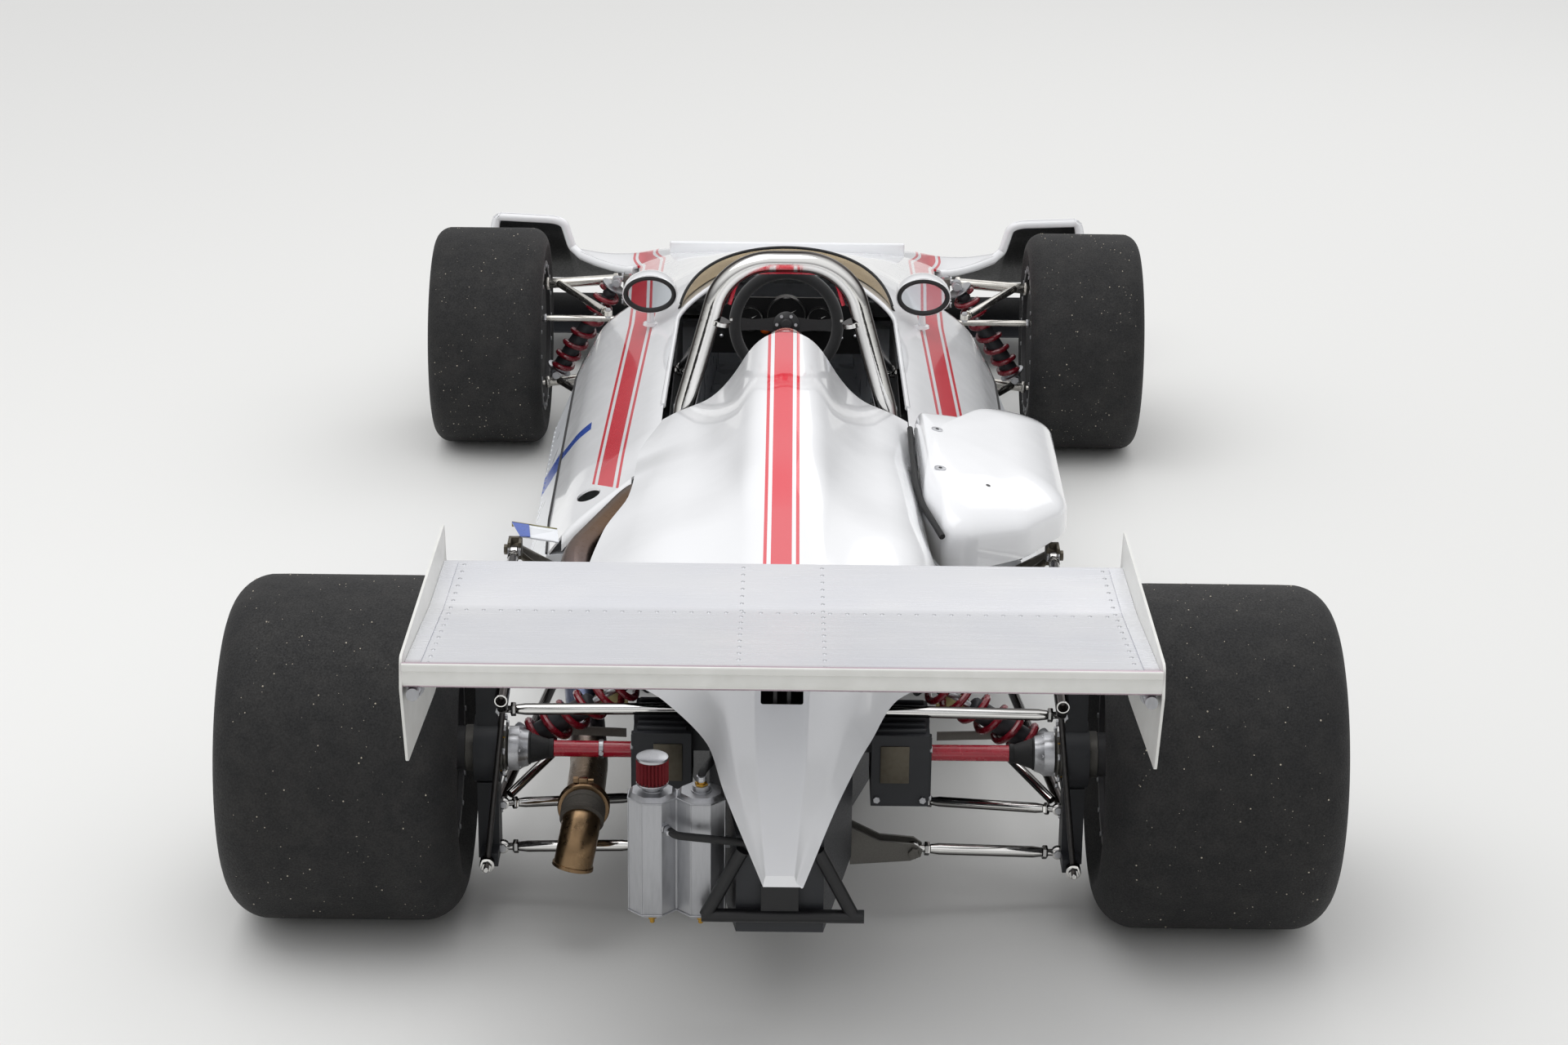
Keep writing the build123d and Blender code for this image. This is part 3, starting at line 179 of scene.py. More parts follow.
# name, colour, roughness, metallic, grain in mm, roughness range, bump (strength, mm), two tints, the rest
finishes = {
    # gloss white enamel on riveted aluminium sheet: slightly wavy, so its shine wanders
    "tubPaint": ("painted_aluminium_sheet", "#e6e9ee", 0.3, 0, 60, (0.25, 0.38), (0.2, 1.2),
                 ("#e2e5ea", "#eaedf1"), {"detail": 1, "Coat_Weight": 0.5}),
    # the same enamel in blue
    "bluePaint": ("blue_enamel", blueLine["blue"], 0.3, 0, 20, (0.25, 0.38), None, ("#1c48a4", "#2659be"),
                  {"Coat_Weight": 0.5}),
    # rolled aluminium sheet, hand polished across the span: bright, with long faint streaks and a painted mauve
    # reflection towards the flap
    "wingMetal": ("polished_aluminium_sheet", "#f0f0f2", 0.3, 0.55, 4, (0.24, 0.28), None, None,
                  {"detail": 4, "stretch": (0.02, 1, 1)}),
    # satin off-white paint on thin aluminium, with a faint mottle of dust
    "platePaint": ("satin_white_plate", "#dcdcd8", 0.45, 0, 40, (0.38, 0.52), (0.05, 0.4),
                   ("#cfcfca", "#e6e6e3")),
    # chrome plate on bent steel tube: a hard clear shine, with a painted dark reflection towards its edges
    "chrome": ("chromed_steel_tube", "#dfe0e2", 0.07, 1, 6, (0.04, 0.12), None, None),
    # nickel plate on the rods: duller than chrome, with slight warm stains
    "nickel": ("nickel_plated_rod", "#c9c6c0", 0.2, 1, 12, (0.14, 0.28), (0.05, 0.2), ("#b4b0a8", "#d9d7d2")),
    # turned aluminium: its fine rings are too small to show, so only a soft sheen is left
    "machined": ("machined_aluminium", "#b9babd", 0.32, 1, 1.5, (0.26, 0.40), (0.08, 0.1), None),
    # welded tank sheet with a dull brushed face
    "tankMetal": ("brushed_tank_sheet", "#b2b3b6", 0.42, 1, 5, (0.34, 0.52), (0.1, 0.2),
                  ("#a3a4a7", "#c4c5c8"), {"stretch": (1, 1, 0.15)}),
    # sand-cast magnesium, chromated: matt grey with a grainy skin
    "magnesium": ("cast_magnesium", "#6e6c68", 0.5, 0.8, 2.5, (0.42, 0.6), (0.25, 0.3),
                  ("#5d5b57", "#7f7d78")),
    # cast and painted dark grey: brake and gearbox casings
    "darkCast": ("dark_cast_casing", "#26272a", 0.5, 0, 2.5, (0.42, 0.62), (0.3, 0.3), ("#1d1e20", "#33353a")),
    # anthracite stove enamel on the cast wheels, satin, with brake dust in it
    "rimMetal": ("anthracite_enamel_wheel", "#34353a", 0.42, 0, 14, (0.34, 0.55), (0.08, 0.2),
                 ("#2a2b2e", "#403f40")),
    # plain steel rod, oiled: dark grey with a soft sheen
    "greySteel": ("oiled_steel_rod", "#4b4a4a", 0.4, 0.8, 8, (0.32, 0.5), (0.06, 0.2), ("#3d3c3c", "#5b5958")),
    # black powder coat on steel tube: an even satin with a very fine orange peel
    "blackSteel": ("black_powder_coat", "#121214", 0.35, 0, 1.2, (0.28, 0.45), (0.12, 0.1), None),
    # dark red enamel on spring steel
    "redSteel": ("red_enamelled_steel", "#7d1020", 0.28, 0, 10, (0.2, 0.36), None, ("#5d0a18", "#861324"),
                 {"Coat_Weight": 0.6}),
    # fresh bright red enamel on the half shafts
    "brightRed": ("bright_red_enamel", "#b3132a", 0.25, 0, 14, (0.18, 0.32), None, ("#a3112a", "#c51a33"),
                  {"Coat_Weight": 0.7}),
    # stainless pipe, blued and browned by heat
    "exhaustMetal": ("heat_tinted_stainless", "#7a6a58", 0.3, 1, 8, (0.24, 0.42), (0.08, 0.2), None),
    # worn slick tread: matt charcoal with grey scuffs
    "slick": ("worn_slick_rubber", "#1a1a1b", 0.8, 0, 3, (0.62, 0.9), (0.6, 0.6), None, {"detail": 6}),
    # road grit picked up by the warm tread: pale and dull
    "grit": ("pale_road_grit", "#b9b1a2", 0.9, 0, 1, (0.8, 1.0), (0.3, 0.3), None),
    # chromate-passivated aluminium plate: a dull olive gold
    "khaki": ("chromated_aluminium_plate", "#8f8a63", 0.4, 0.9, 12, (0.34, 0.5), (0.06, 0.2),
              ("#7f7a55", "#a39d74")),
    # bare aluminium gone brown with brake heat
    "dullPlate": ("heat_browned_aluminium", "#5f594d", 0.45, 0.7, 9, (0.38, 0.55), (0.06, 0.2),
                  ("#524c41", "#6f695c")),
    # woven glass tape round the pipe, baked grey
    "wrap": ("baked_glass_tape", "#4a4641", 0.8, 0, 3, (0.7, 0.9), (0.4, 0.4), ("#393632", "#625d56")),
    # the laminate's unpainted back: dark resin with the weave of the glass cloth showing
    "resin": ("dark_resin_laminate", "#1c1d1f", 0.55, 0, 4, (0.45, 0.7), (0.4, 0.3), None),
    # moulded rubber on boots, hoses and seals: matt black
    "rubber": ("moulded_black_rubber", "#161617", 0.6, 0, 2, (0.5, 0.7), (0.15, 0.1), None),
    # black vinyl over foam, with a pressed leather grain
    "vinyl": ("black_vinyl_cover", "#161617", 0.5, 0, 1.6, (0.42, 0.6), (0.35, 0.15), None),
    # black suede round the steering wheel: matt, with a faint nap
    "suede": ("black_suede_wrap", "#141416", 0.85, 0, 1.2, (0.75, 0.95), (0.3, 0.15), None,
              {"Sheen_Weight": 0.3}),
    # smoked acrylic: clear brown with polished faces
    "acrylic": ("smoked_acrylic", "#b8a688", 0.03, 0, 30, (0.02, 0.06), None, None,
                {"Transmission_Weight": 1.0, "IOR": 1.49}),
    # silvered glass: a clean mirror
    "mirror": ("silvered_glass", "#d5d9dc", 0.02, 1, 30, (0.01, 0.03), None, None),
    # dyed filter gauze: dull dark red
    "gauze": ("red_filter_gauze", "#74141d", 0.8, 0, 1.5, (0.7, 0.95), (0.5, 0.4), None),
    # turned brass, left bare
    "brass": ("brass_fitting", "#b08a3e", 0.3, 1, 3, (0.25, 0.4), None, None),
    # anodised black of the dial faces
    "dialBlack": ("dial_black", "#0c0c0d", 0.4, 0, 1, (0.35, 0.45), None, None),
    # white ink printed on the dials
    "dialWhite": ("dial_white_ink", "#e8e8e4", 0.5, 0, 1, (0.45, 0.55), None, None),
    # moulded orange plastic of the lamp's lens
    "orange": ("orange_lamp_lens", "#e8641a", 0.2, 0, 2, (0.15, 0.25), None, None)}
# grain of the haze and scuffs in mm, and tints that follow the view (a painted reflection on the chrome) or the
# place along the car (in m; the wing's mauve band is a painted reflection too)
looks = {
    # mauveReflection: a painted reflection on the wing: where it starts and is full along the car (in m), its
    # strength and colour
    "haze": (180, "#e9ebf2", "#fbfbfc"), "mauveReflection": (2.045, 2.08, 0.8, "#a88c98"),
    # facing: a painted reflection on the chrome, light where it faces the view and dark brown towards its edges
    "facing": (0.35, 0.08, 0.32, "#edece9", "#2a2320"), "scuff": (55, 0.42, 0.72, "#101011", "#232221"),
    # brown by the engine, blue past the bend, bronze at the mouth
    "heat": ((0.0, "#4d4038"), (0.28, "#6a5646"), (0.52, "#6d6a72"), (0.66, "#565d72"), (0.76, "#7b6a58"),
             (0.9, "#877057"), (1.0, "#947a5c")),
    "heatAlong": (0.4, 1.45), "heatWander": 0.05}


def sillLook(tree, shader, coords, grain, under):
    blueBand(tree, shader, addNode(tree, "SeparateXYZ", {0: coords}).outputs, under, "sill")


def wingLook(tree, shader, coords, grain, under):
    # a soft haze in the sheet, and a painted mauve reflection towards the flap
    size, first, second = looks["haze"]
    haze = addNode(tree, "TexNoise", {"Vector": coords, "Scale": 1000 / size, "Detail": 2}).outputs[0]
    start, end, most, colour = looks["mauveReflection"]
    along = addNode(tree, "SeparateXYZ", {0: coords}).outputs[1]
    edge = addNode(tree, "MapRange", {0: along, 1: start, 2: end, 4: most},
                   interpolation_type="SMOOTHSTEP").outputs[0]
    tinted(tree, shader, edge, tinted(tree, shader, haze, first, second), colour)


def chromeLook(tree, shader, coords, grain, under):
    # painted reflection: the base colour turns dark brown where the surface turns away from the view, standing in
    # for dark surroundings mirrored in the chrome
    blend, start, end, first, second = looks["facing"]
    facing = addNode(tree, "LayerWeight", {"Blend": blend}).outputs["Facing"]
    edge = addNode(tree, "MapRange", {0: facing, 1: start, 2: end}).outputs[0]
    tinted(tree, shader, edge, first, second)


def heatLook(tree, shader, coords, grain, under):
    # heat colours along the pipe, with a border that wanders a little
    start, end = looks["heatAlong"]
    along = addNode(tree, "SeparateXYZ", {0: coords}).outputs[1]
    wander = addNode(tree, "Math", {0: grain, 1: looks["heatWander"], 2: along},
                     operation="MULTIPLY_ADD").outputs[0]
    place = addNode(tree, "MapRange", {0: wander, 1: start, 2: end}).outputs[0]
    ramp = addNode(tree, "ValToRGB", {0: place})
    rampColours(ramp, [(at, toLinear(colour)) for at, colour in looks["heat"]])
    tree.links.new(ramp.outputs[0], shader.inputs["Base Color"])


def scuffLook(tree, shader, coords, grain, under):
    # grey patches where the tread was scuffed
    size, start, end, first, second = looks["scuff"]
    scuff = addNode(tree, "TexNoise", {"Vector": coords, "Scale": 1000 / size, "Detail": 6,
                                       "Roughness": 0.7}).outputs[0]
    patch = addNode(tree, "MapRange", {0: scuff, 1: start, 2: end}).outputs[0]
    tinted(tree, shader, patch, first, second)


moreLooks = {"tubPaint": sillLook, "wingMetal": wingLook, "chrome": chromeLook, "exhaustMetal": heatLook,
             "slick": scuffLook}


def makeMaterials():
    made = {"shellPaint": glossPaint("glass_fibre_gloss_white_striped", sideStripes),
            "coverPaint": glossPaint("glass_fibre_gloss_white_centre_stripe", middleStripe),
            "plainPaint": glossPaint("glass_fibre_gloss_white", None)}
    for key, (name, colour, roughness, metallic, size, shine, bump, tints, *rest) in finishes.items():
        extras = dict(rest[0]) if rest else {}
        stretch, detail = extras.pop("stretch", (1, 1, 1)), extras.pop("detail", 3)
        made[key], tree, shader = newMaterial(name, colour, roughness, metallic, **extras)
        coords, grain = grainOn(tree, shader, size, shine, bump, stretch, detail)
        mixed = tinted(tree, shader, grain, *tints) if tints else None
        if key in moreLooks:
            moreLooks[key](tree, shader, coords, grain, mixed)
    return made


paint = makeMaterials()
print("materials made", len(paint))


# shapes: each returns (points, faces) in mm

def gridPart(grid, closeAcross=False, capEnds=False):
    grid = np.asarray(grid, float)
    rows, count = grid.shape[:2]
    faces = []
    across = count if closeAcross else count - 1
    for i in range(rows - 1):
        for j in range(across):
            k = (j + 1) % count
            faces.append((i * count + j, i * count + k, (i + 1) * count + k, (i + 1) * count + j))
    if capEnds:
        faces.append(tuple(reversed(range(count))))
        faces.append(tuple((rows - 1) * count + j for j in range(count)))
    return grid.reshape(-1, 3), faces


def closedLoft(rings):
    return gridPart(rings, closeAcross=True, capEnds=True)


def column(plan, low, high):
    # a plan of (x, y) points stood up between two heights
    return closedLoft([[(x, y, z) for x, y in plan] for z in (low, high)])


def anglesRound(count, first=0.0):
    return [first + 2 * pi * k / count for k in range(count)]


def spokeOut(angle):
    # a direction at right angles to the wheels' axles
    return Vector((0, cos(angle), sin(angle)))


def gridNormals(grid):
    along, across = np.gradient(grid, axis=0), np.gradient(grid, axis=1)
    normals = np.cross(across, along)
    return normals / np.maximum(np.linalg.norm(normals, axis=2, keepdims=True), 1e-9)


def thickPart(grid, wall):
    # a sheet with a wall: the grid's own face, and one moved towards the grid's middle, closed at the edges
    grid = np.asarray(grid, float)
    rows, count = grid.shape[:2]
    normals = gridNormals(grid)
    outwards = np.sign(np.sum(normals * (grid - grid.mean(axis=(0, 1)))))
    inner = grid - normals * outwards * wall
    points = np.concatenate([grid.reshape(-1, 3), inner.reshape(-1, 3)])
    faces, slots, back = [], [], rows * count
    for i in range(rows - 1):
        for j in range(count - 1):
            a, b, c, d = i * count + j, i * count + j + 1, (i + 1) * count + j + 1, (i + 1) * count + j
            faces += [(a, b, c, d), (back + d, back + c, back + b, back + a)]
            slots += [0, 1]
    edge = list(range(count)) + [i * count + count - 1 for i in range(1, rows)]
    edge += [(rows - 1) * count + j for j in range(count - 2, -1, -1)]
    edge += [i * count for i in range(rows - 2, 0, -1)]
    for a, b in zip(edge, edge[1:] + edge[:1]):
        faces.append((b, a, back + a, back + b))
    return points, faces, slots + [0] * len(edge)


def crossFrame(axis):
    axis = Vector(axis).normalized()
    side = axis.orthogonal().normalized()
    return axis, side, axis.cross(side)


def turned(profile, origin, axis, segments=48, turn=0.0):
    # a shape turned about an axis, from (along, radius) points
    axis, side, up = crossFrame(axis)
    ways = [side * cos(angle) + up * sin(angle) for angle in anglesRound(segments, turn)]
    return closedLoft([[Vector(origin) + axis * along + way * max(radius, 0.01) for way in ways]
                       for along, radius in profile])


def tube(points, radius, sides=12, closed=False):
    # a round bar along points; radius may be a list
    points = [Vector(point) for point in points]
    count, grid, side = len(points), [], None
    for index, point in enumerate(points):
        if closed:
            run = points[(index + 1) % count] - points[index - 1]
        else:
            run = points[min(index + 1, count - 1)] - points[max(index - 1, 0)]
        run.normalize()
        side = run.orthogonal() if side is None else side - run * side.dot(run)
        side.normalize()
        up = run.cross(side)
        r = radius[index] if isinstance(radius, (list, tuple)) else radius
        grid.append([point + (side * cos(angle) + up * sin(angle)) * r for angle in anglesRound(sides)])
    return gridPart(grid + [grid[0]], closeAcross=True) if closed else closedLoft(grid)


def cornerCurve(before, corner, after, cuts, steps):
    # a curve that leaves the corner's two sides at these shares of their length
    start, end = corner + (before - corner) * cuts[0], corner + (after - corner) * cuts[1]
    return [start * (1 - t) ** 2 + corner * 2 * t * (1 - t) + end * t ** 2
            for t in np.linspace(0, 1, steps + 1)]


def roundedPath(points, radius, steps=8):
    # the points joined by straight runs with arcs of about this radius at the corners
    points = [Vector(point) for point in points]
    path = [points[0]]
    for before, corner, after in zip(points, points[1:], points[2:]):
        a, b = (before - corner), (after - corner)
        angle = a.angle(b)
        cut = min(radius / tan(angle / 2), a.length * 0.49, b.length * 0.49)
        start, end = corner + a.normalized() * cut, corner + b.normalized() * cut
        middle = corner + (a.normalized() + b.normalized()).normalized() * cut / cos(angle / 2)
        axis = (start - middle).cross(end - middle)
        for k in range(steps + 1):
            path.append(middle + Matrix.Rotation((pi - angle) * k / steps, 3, axis) @ (start - middle))
    return path + [points[-1]]


def boxPart(low, high, bevel=1.5, segments=2):
    # a block with its edges rounded
    mesh = bmesh.new()
    corners = [mesh.verts.new((x, y, z)) for x in (low[0], high[0]) for y in (low[1], high[1])
               for z in (low[2], high[2])]
    for ring in ((0, 1, 3, 2), (4, 6, 7, 5), (0, 4, 5, 1), (2, 3, 7, 6), (0, 2, 6, 4), (1, 5, 7, 3)):
        mesh.faces.new([corners[index] for index in ring])
    bmesh.ops.bevel(mesh, geom=mesh.edges[:], offset=bevel, segments=segments, affect="EDGES", profile=0.5)
    mesh.verts.index_update()
    part = [tuple(v.co) for v in mesh.verts], [[v.index for v in face.verts] for face in mesh.faces]
    mesh.free()
    return part


def platePart(outline, axis, thickness, origin=(0, 0, 0)):
    # a flat plate with this outline, pushed along its axis from the origin
    shift = Vector(axis).normalized() * thickness
    row = [Vector(origin) + Vector(p) for p in outline]
    return closedLoft([row, [p + shift for p in row]])


def inSlot(parts, slot):
    # the same parts in another material slot of their piece
    return [(part[0], part[1], slot) for part in parts]


def mirroredPart(part):
    points, faces, *slots = part
    return [(-x, y, z) for x, y, z in points], [tuple(reversed(face)) for face in faces], *slots


def bothSides(parts):
    return parts + [mirroredPart(part) for part in parts]


def domes(spots, radius, height, sides=8):
    # rivet heads at (point, normal) spots
    head = [(-0.3, radius), (height * 0.55, radius * 0.86), (height, radius * 0.4)]
    return [turned(head, point, normal, sides) for point, normal in spots]


def hexNut(origin, axis, flats, height):
    corner = flats / 2 / cos(pi / 6)
    side = [(0, corner * 0.94), (height * 0.12, corner), (height * 0.88, corner), (height, corner * 0.94)]
    return turned(side + [(height, corner * 0.5)], origin, axis, 6)


def planRing(corners, steps=6):
    # a closed plan (x, y, radius) with its corners rounded
    ring, count = [], len(corners)
    for index, (x, y, radius) in enumerate(corners):
        corner = Vector((x, y, 0))
        before, after = [Vector((*corners[k][:2], 0)) for k in (index - 1, (index + 1) % count)]
        a, b = before - corner, after - corner
        cut = min(radius / tan(a.angle(b) / 2), a.length * 0.48, b.length * 0.48)
        ring += cornerCurve(before, corner, after, (cut / a.length, cut / b.length), steps)
    return ring


def grownRing(ring, amount):
    # the plan moved outwards
    count, moved = len(ring), []
    area = sum(ring[k - 1].x * ring[k].y - ring[k].x * ring[k - 1].y for k in range(count))
    for k in range(count):
        run = (ring[(k + 1) % count] - ring[k - 1]).normalized()
        moved.append(ring[k] + Vector((run.y, -run.x, 0)) * (amount if area > 0 else -amount))
    return moved


def roundedSection(points, shares, steps=7):
    # a section with each corner drawn as a curve that starts this share of the way along its two sides
    points = [np.array(point, float) for point in points]
    line = [points[0]]
    for index in range(1, len(points) - 1):
        line += cornerCurve(*points[index - 1:index + 2], (shares[index], shares[index]), steps)
    return line + [points[-1]]


def slopesOf(at, values):
    # slopes that keep a curve through the values from swinging past them
    step = np.diff(at)[:, None, None]
    rise = np.diff(values, axis=0) / step
    slopes = np.zeros_like(values)
    slopes[0], slopes[-1] = rise[0], rise[-1]
    before, after = rise[:-1], rise[1:]
    first, second = 2 * step[1:] + step[:-1], step[1:] + 2 * step[:-1]
    both = before * after > 0
    safeBefore, safeAfter = np.where(both, before, 1), np.where(both, after, 1)
    slopes[1:-1] = np.where(both, (first + second) / (first / safeBefore + second / safeAfter), 0)
    return slopes


def smoothLoft(rows, shares, steps):
    # a grid through sections (y, points), smooth along the car without overshoot
    at = np.array([row[0] for row in rows], float)
    values = np.array([roundedSection(row[1], shares) for row in rows])
    slopes, grid = slopesOf(at, values), []
    for y in sorted(set(np.linspace(at[0], at[-1], steps)) | set(at)):
        i = min(max(int(np.searchsorted(at, y)) - 1, 0), len(at) - 2)
        h = at[i + 1] - at[i]
        t = (y - at[i]) / h
        line = ((2 * t ** 3 - 3 * t ** 2 + 1) * values[i] + (t ** 3 - 2 * t ** 2 + t) * h * slopes[i]
                + (3 * t ** 2 - 2 * t ** 3) * values[i + 1] + (t ** 3 - t ** 2) * h * slopes[i + 1])
        grid.append([(x, y, z) for x, z in line])
    return np.array(grid)


def mirroredLine(half):
    return half + [(-x, z) for x, z in reversed(half)]


# pieces

def newObject(name, parts, finishKeys, crease=35):
    mesh = bmesh.new()
    for part in parts:
        points, faces, slots = part if len(part) == 3 else (*part, 0)
        made = [mesh.verts.new(tuple(float(c) / 1000 for c in point)) for point in points]
        for index, face in enumerate(faces):
            slot = slots[index] if isinstance(slots, list) else slots
            mesh.faces.new([made[corner] for corner in face]).material_index = slot
    bmesh.ops.remove_doubles(mesh, verts=mesh.verts[:], dist=1e-6)
    bmesh.ops.dissolve_degenerate(mesh, dist=1e-7, edges=mesh.edges[:])
    bmesh.ops.recalc_face_normals(mesh, faces=mesh.faces[:])
    data = bpy.data.meshes.new(name)
    mesh.to_mesh(data)
    mesh.free()
    for key in [finishKeys] if isinstance(finishKeys, str) else finishKeys:
        data.materials.append(paint[key])
    made = bpy.data.objects.new(name, data)
    bpy.context.scene.collection.objects.link(made)
    shadeSmooth(made, crease)
    return made


def shadeSmooth(made, crease=35):
    made.data.polygons.foreach_set("use_smooth", [True] * len(made.data.polygons))
    made.data.set_sharp_from_angle(angle=radians(crease))


def cutAway(made, cutterParts):
    cutter = newObject("cutter", cutterParts, "plainPaint")
    change = made.modifiers.new("cut", "BOOLEAN")
    change.operation, change.solver, change.object, change.use_self = "DIFFERENCE", "EXACT", cutter, True
    bpy.context.view_layer.update()
    mesh = bpy.data.meshes.new_from_object(made.evaluated_get(bpy.context.evaluated_depsgraph_get()))
    made.modifiers.clear()
    made.data = mesh
    bpy.data.objects.remove(cutter)


def place(made, slotName, body="car", stands=()):
    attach(made, body)
    if stands:
        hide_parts(*stands)
    return made


def piece(name, parts, finishKeys, slotName, body="car", stands=(), crease=35):
    return place(newObject(name, parts, finishKeys, crease), slotName, body, stands)


def surfaceOf(points, faces):
    # a ray target, in metres, of a mesh in mm
    return BVHTree.FromPolygons([Vector(point) / 1000 for point in points], faces)


def surfaceOfPiece(made):
    points = [v.co.copy() for v in made.data.vertices]
    return BVHTree.FromPolygons(points, [tuple(face.vertices) for face in made.data.polygons])


def dropOn(surface, x, y, z=900):
    # where a vertical line at (x, y) meets the surface from above, and its normal, in mm
    hit, normal, _, _ = surface.ray_cast(Vector((x, y, z)) / 1000, Vector((0, 0, -1)))
    return (hit * 1000, normal) if hit else (None, None)


# measures shared with the frame
rearY, frontY = [(low.y + high.y) * 500 for low, high in (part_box("rear_left_tyre"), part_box("front_left_tyre"))]


# upper body: y, then half width and height of the base, the shoulder, the cockpit rim and the crown
shell = {
    "rows": [
        (frontY - 376, 358, 302, 366, 320, 282, 350, 90, 353),
        (frontY, 360, 330, 358, 372, 225, 440, 110, 470),
        (frontY + 180, 366, 335, 362, 385, 232, 470, 120, 515),
        (frontY + 320, 455, 300, 412, 390, 240, 490, 125, 545),
        (frontY + 480, 468, 300, 414, 388, 240, 505, 125, 560),
        (rearY - 1085, 468, 300, 418, 372, 246, 513, 120, 520),
        (rearY - 902, 461, 299, 412, 366, 246, 500, 120, 515)],
    "shares": [0, 0.4, 0.3, 0.42, 0.42, 0.3, 0.4, 0], "wall": 4, "cutHeights": (250, 900),
    "open": 235, "openMiddle": rearY - 1775, "openReach": 200, "openBack": 245, "cockpitBack": rearY - 1209,
    "bead": 5.5, "seal": 2.5, "rackHole": (frontY + 95, 326, 16),
    # an oval recess on the left: middle, half length, half width and turn in degrees
    "filler": (384, rearY - 985, 46, 15, 63),
    # the rear lip: between these distances from the middle, its wall, and how it reaches back and drops
    "lip": (285, 448), "lipWall": 3, "lipCurve": ((0, 0), (7, 1), (13, 4), (18, 9), (21, 16), (22, 26))}
# airbox: plan corners (x, y, radius), heights of its wall and rounded edge, and the tilt of its top in degrees
airbox = {
    "plan": [(-250, rearY - 1058, 20), (-390, rearY - 1098, 45), (-425, rearY - 1226, 90),
             (-536, rearY - 1226, 90), (-538, rearY - 742, 150), (-450, rearY - 600, 110),
             (-340, rearY - 528, 60), (-294, rearY - 535, 40), (-257, rearY - 660, 200)],
    "bottom": 420, "edge": 62, "wall": 52, "tilt": 13, "seat": 3, "crown": (-290, rearY - 930), "taper": 0.42,
    # rise above the edge and more taper, for the last rings of the top
    "top": ((1.5, 0.15), (2.5, 0.3), (3, 0.45))}


def openingOutline(grow=0):
    half, middle, reach = shell["open"] + grow, shell["openMiddle"], shell["openReach"] + grow
    line = [(shell["openBack"] + grow, y) for y in (shell["rows"][-1][0] + 50, shell["cockpitBack"])]
    line += [(half * cos(a), middle - reach * sin(a)) for a in np.linspace(0, pi, 49)]
    return line + [(-x, y) for x, y in reversed(line[:2])]


def fillerOutline():
    x, y, long, short, turn = shell["filler"]
    c, s = cos(radians(turn)), sin(radians(turn))
    return [(x + long * cos(a) * c + short * sin(a) * s, y - long * cos(a) * s + short * sin(a) * c)
            for a in anglesRound(40)]


def makeShell():
    rows = [(y, mirroredLine([(baseX, baseZ + 1), *zip(upper[::2], upper[1::2])]))
            for y, baseX, baseZ, *upper in shell["rows"]]
    grid = smoothLoft(rows, shell["shares"], 64)
    made = newObject("body_shell", [thickPart(grid, shell["wall"])], ("shellPaint", "resin"))
    for outline in (openingOutline(), fillerOutline()):
        cutAway(made, [column(outline, *shell["cutHeights"])])
    y, z, radius = shell["rackHole"]
    cutAway(made, [tube([(-600, y, z), (600, y, z)], radius, 32)])
    seat = grownRing(planRing(airbox["plan"]), airbox["seat"])
    cutAway(made, [column([(p.x, p.y) for p in seat], airbox["bottom"] - 3, shell["cutHeights"][1])])
    shadeSmooth(made)
    place(made, "white_paint", stands=["cockpit_surround"])
    return grid


def makeOpeningBead(surface):
    # the rolled white edge round the cockpit
    hits = [dropOn(surface, x, y)[0] for x, y in openingOutline(1)[1:-1]]
    line = [hit + Vector((0, 0, -1)) for hit in hits if hit]
    piece("cockpit_edge_bead", [tube(line, shell["bead"], 10)], "plainPaint", "white_paint")


def makeRearLip(grid):
    # the turned-down white flange along the shell's rear edge
    low, high = shell["lip"]
    edge = [Vector(p) for p in grid[-1] if low < p[0] < high]
    rows = [[p + Vector((0, reach - 1, -drop)) for p in edge] for reach, drop in shell["lipCurve"]]
    piece("shell_rear_lips", bothSides([thickPart(rows, shell["lipWall"])]), "plainPaint", "white_paint")


def makeBaseSeal():
    # the thin dark line between flank and sill
    line = [(row[1] + 1.5, row[0], row[2] + 2) for row in shell["rows"]]
    piece("shell_base_seal", bothSides([tube(line, shell["seal"], 8)]), "rubber", "black_rubber")


shellGrid = makeShell()
shellSurface = surfaceOf(*gridPart(shellGrid))
makeRearLip(shellGrid)
makeOpeningBead(shellSurface)
makeBaseSeal()
print("body shell made")


# nose: half widths where the section turns, and y with the heights at those turns
nose = {
    "turns": (740, 559, 534, 450, 374, 290), "half": 744, "floor": 95, "wall": 5, "corner": 70, "side": 800,
    "rows": [
        (frontY - 925, 125, 125, 124, 124, 124, 125), (frontY - 865, 168, 168, 158, 157, 158, 160),
        (frontY - 805, 210, 208, 191, 190, 192, 196), (frontY - 660, 322, 320, 256, 252, 257, 270),
        (frontY - 515, 410, 402, 318, 303, 305, 328), (frontY - 380, 425, 417, 322, 306, 309, 352)],
    "shares": [0, 0.16, 0.22, 0.3, 0.4, 0.35, 0.4], "fairingBack": frontY - 515, "back": frontY - 380,
    "lip": 11,
    "slot": ((-250, frontY - 955, 106), (250, frontY - 845, 148), 6),
    "bar": ((-290, frontY - 420, 334), (290, frontY - 408, 370), 5, 3),
    "pan": ((-735, frontY - 860, 95), (735, frontY - 520, 99), 1)}


def sectionAt(grid, y):
    stations = grid[:, 0, 1]
    i = min(max(int(np.searchsorted(stations, y)) - 1, 0), len(stations) - 2)
    t = (y - stations[i]) / (stations[i + 1] - stations[i])
    return grid[i] * (1 - t) + grid[i + 1] * t


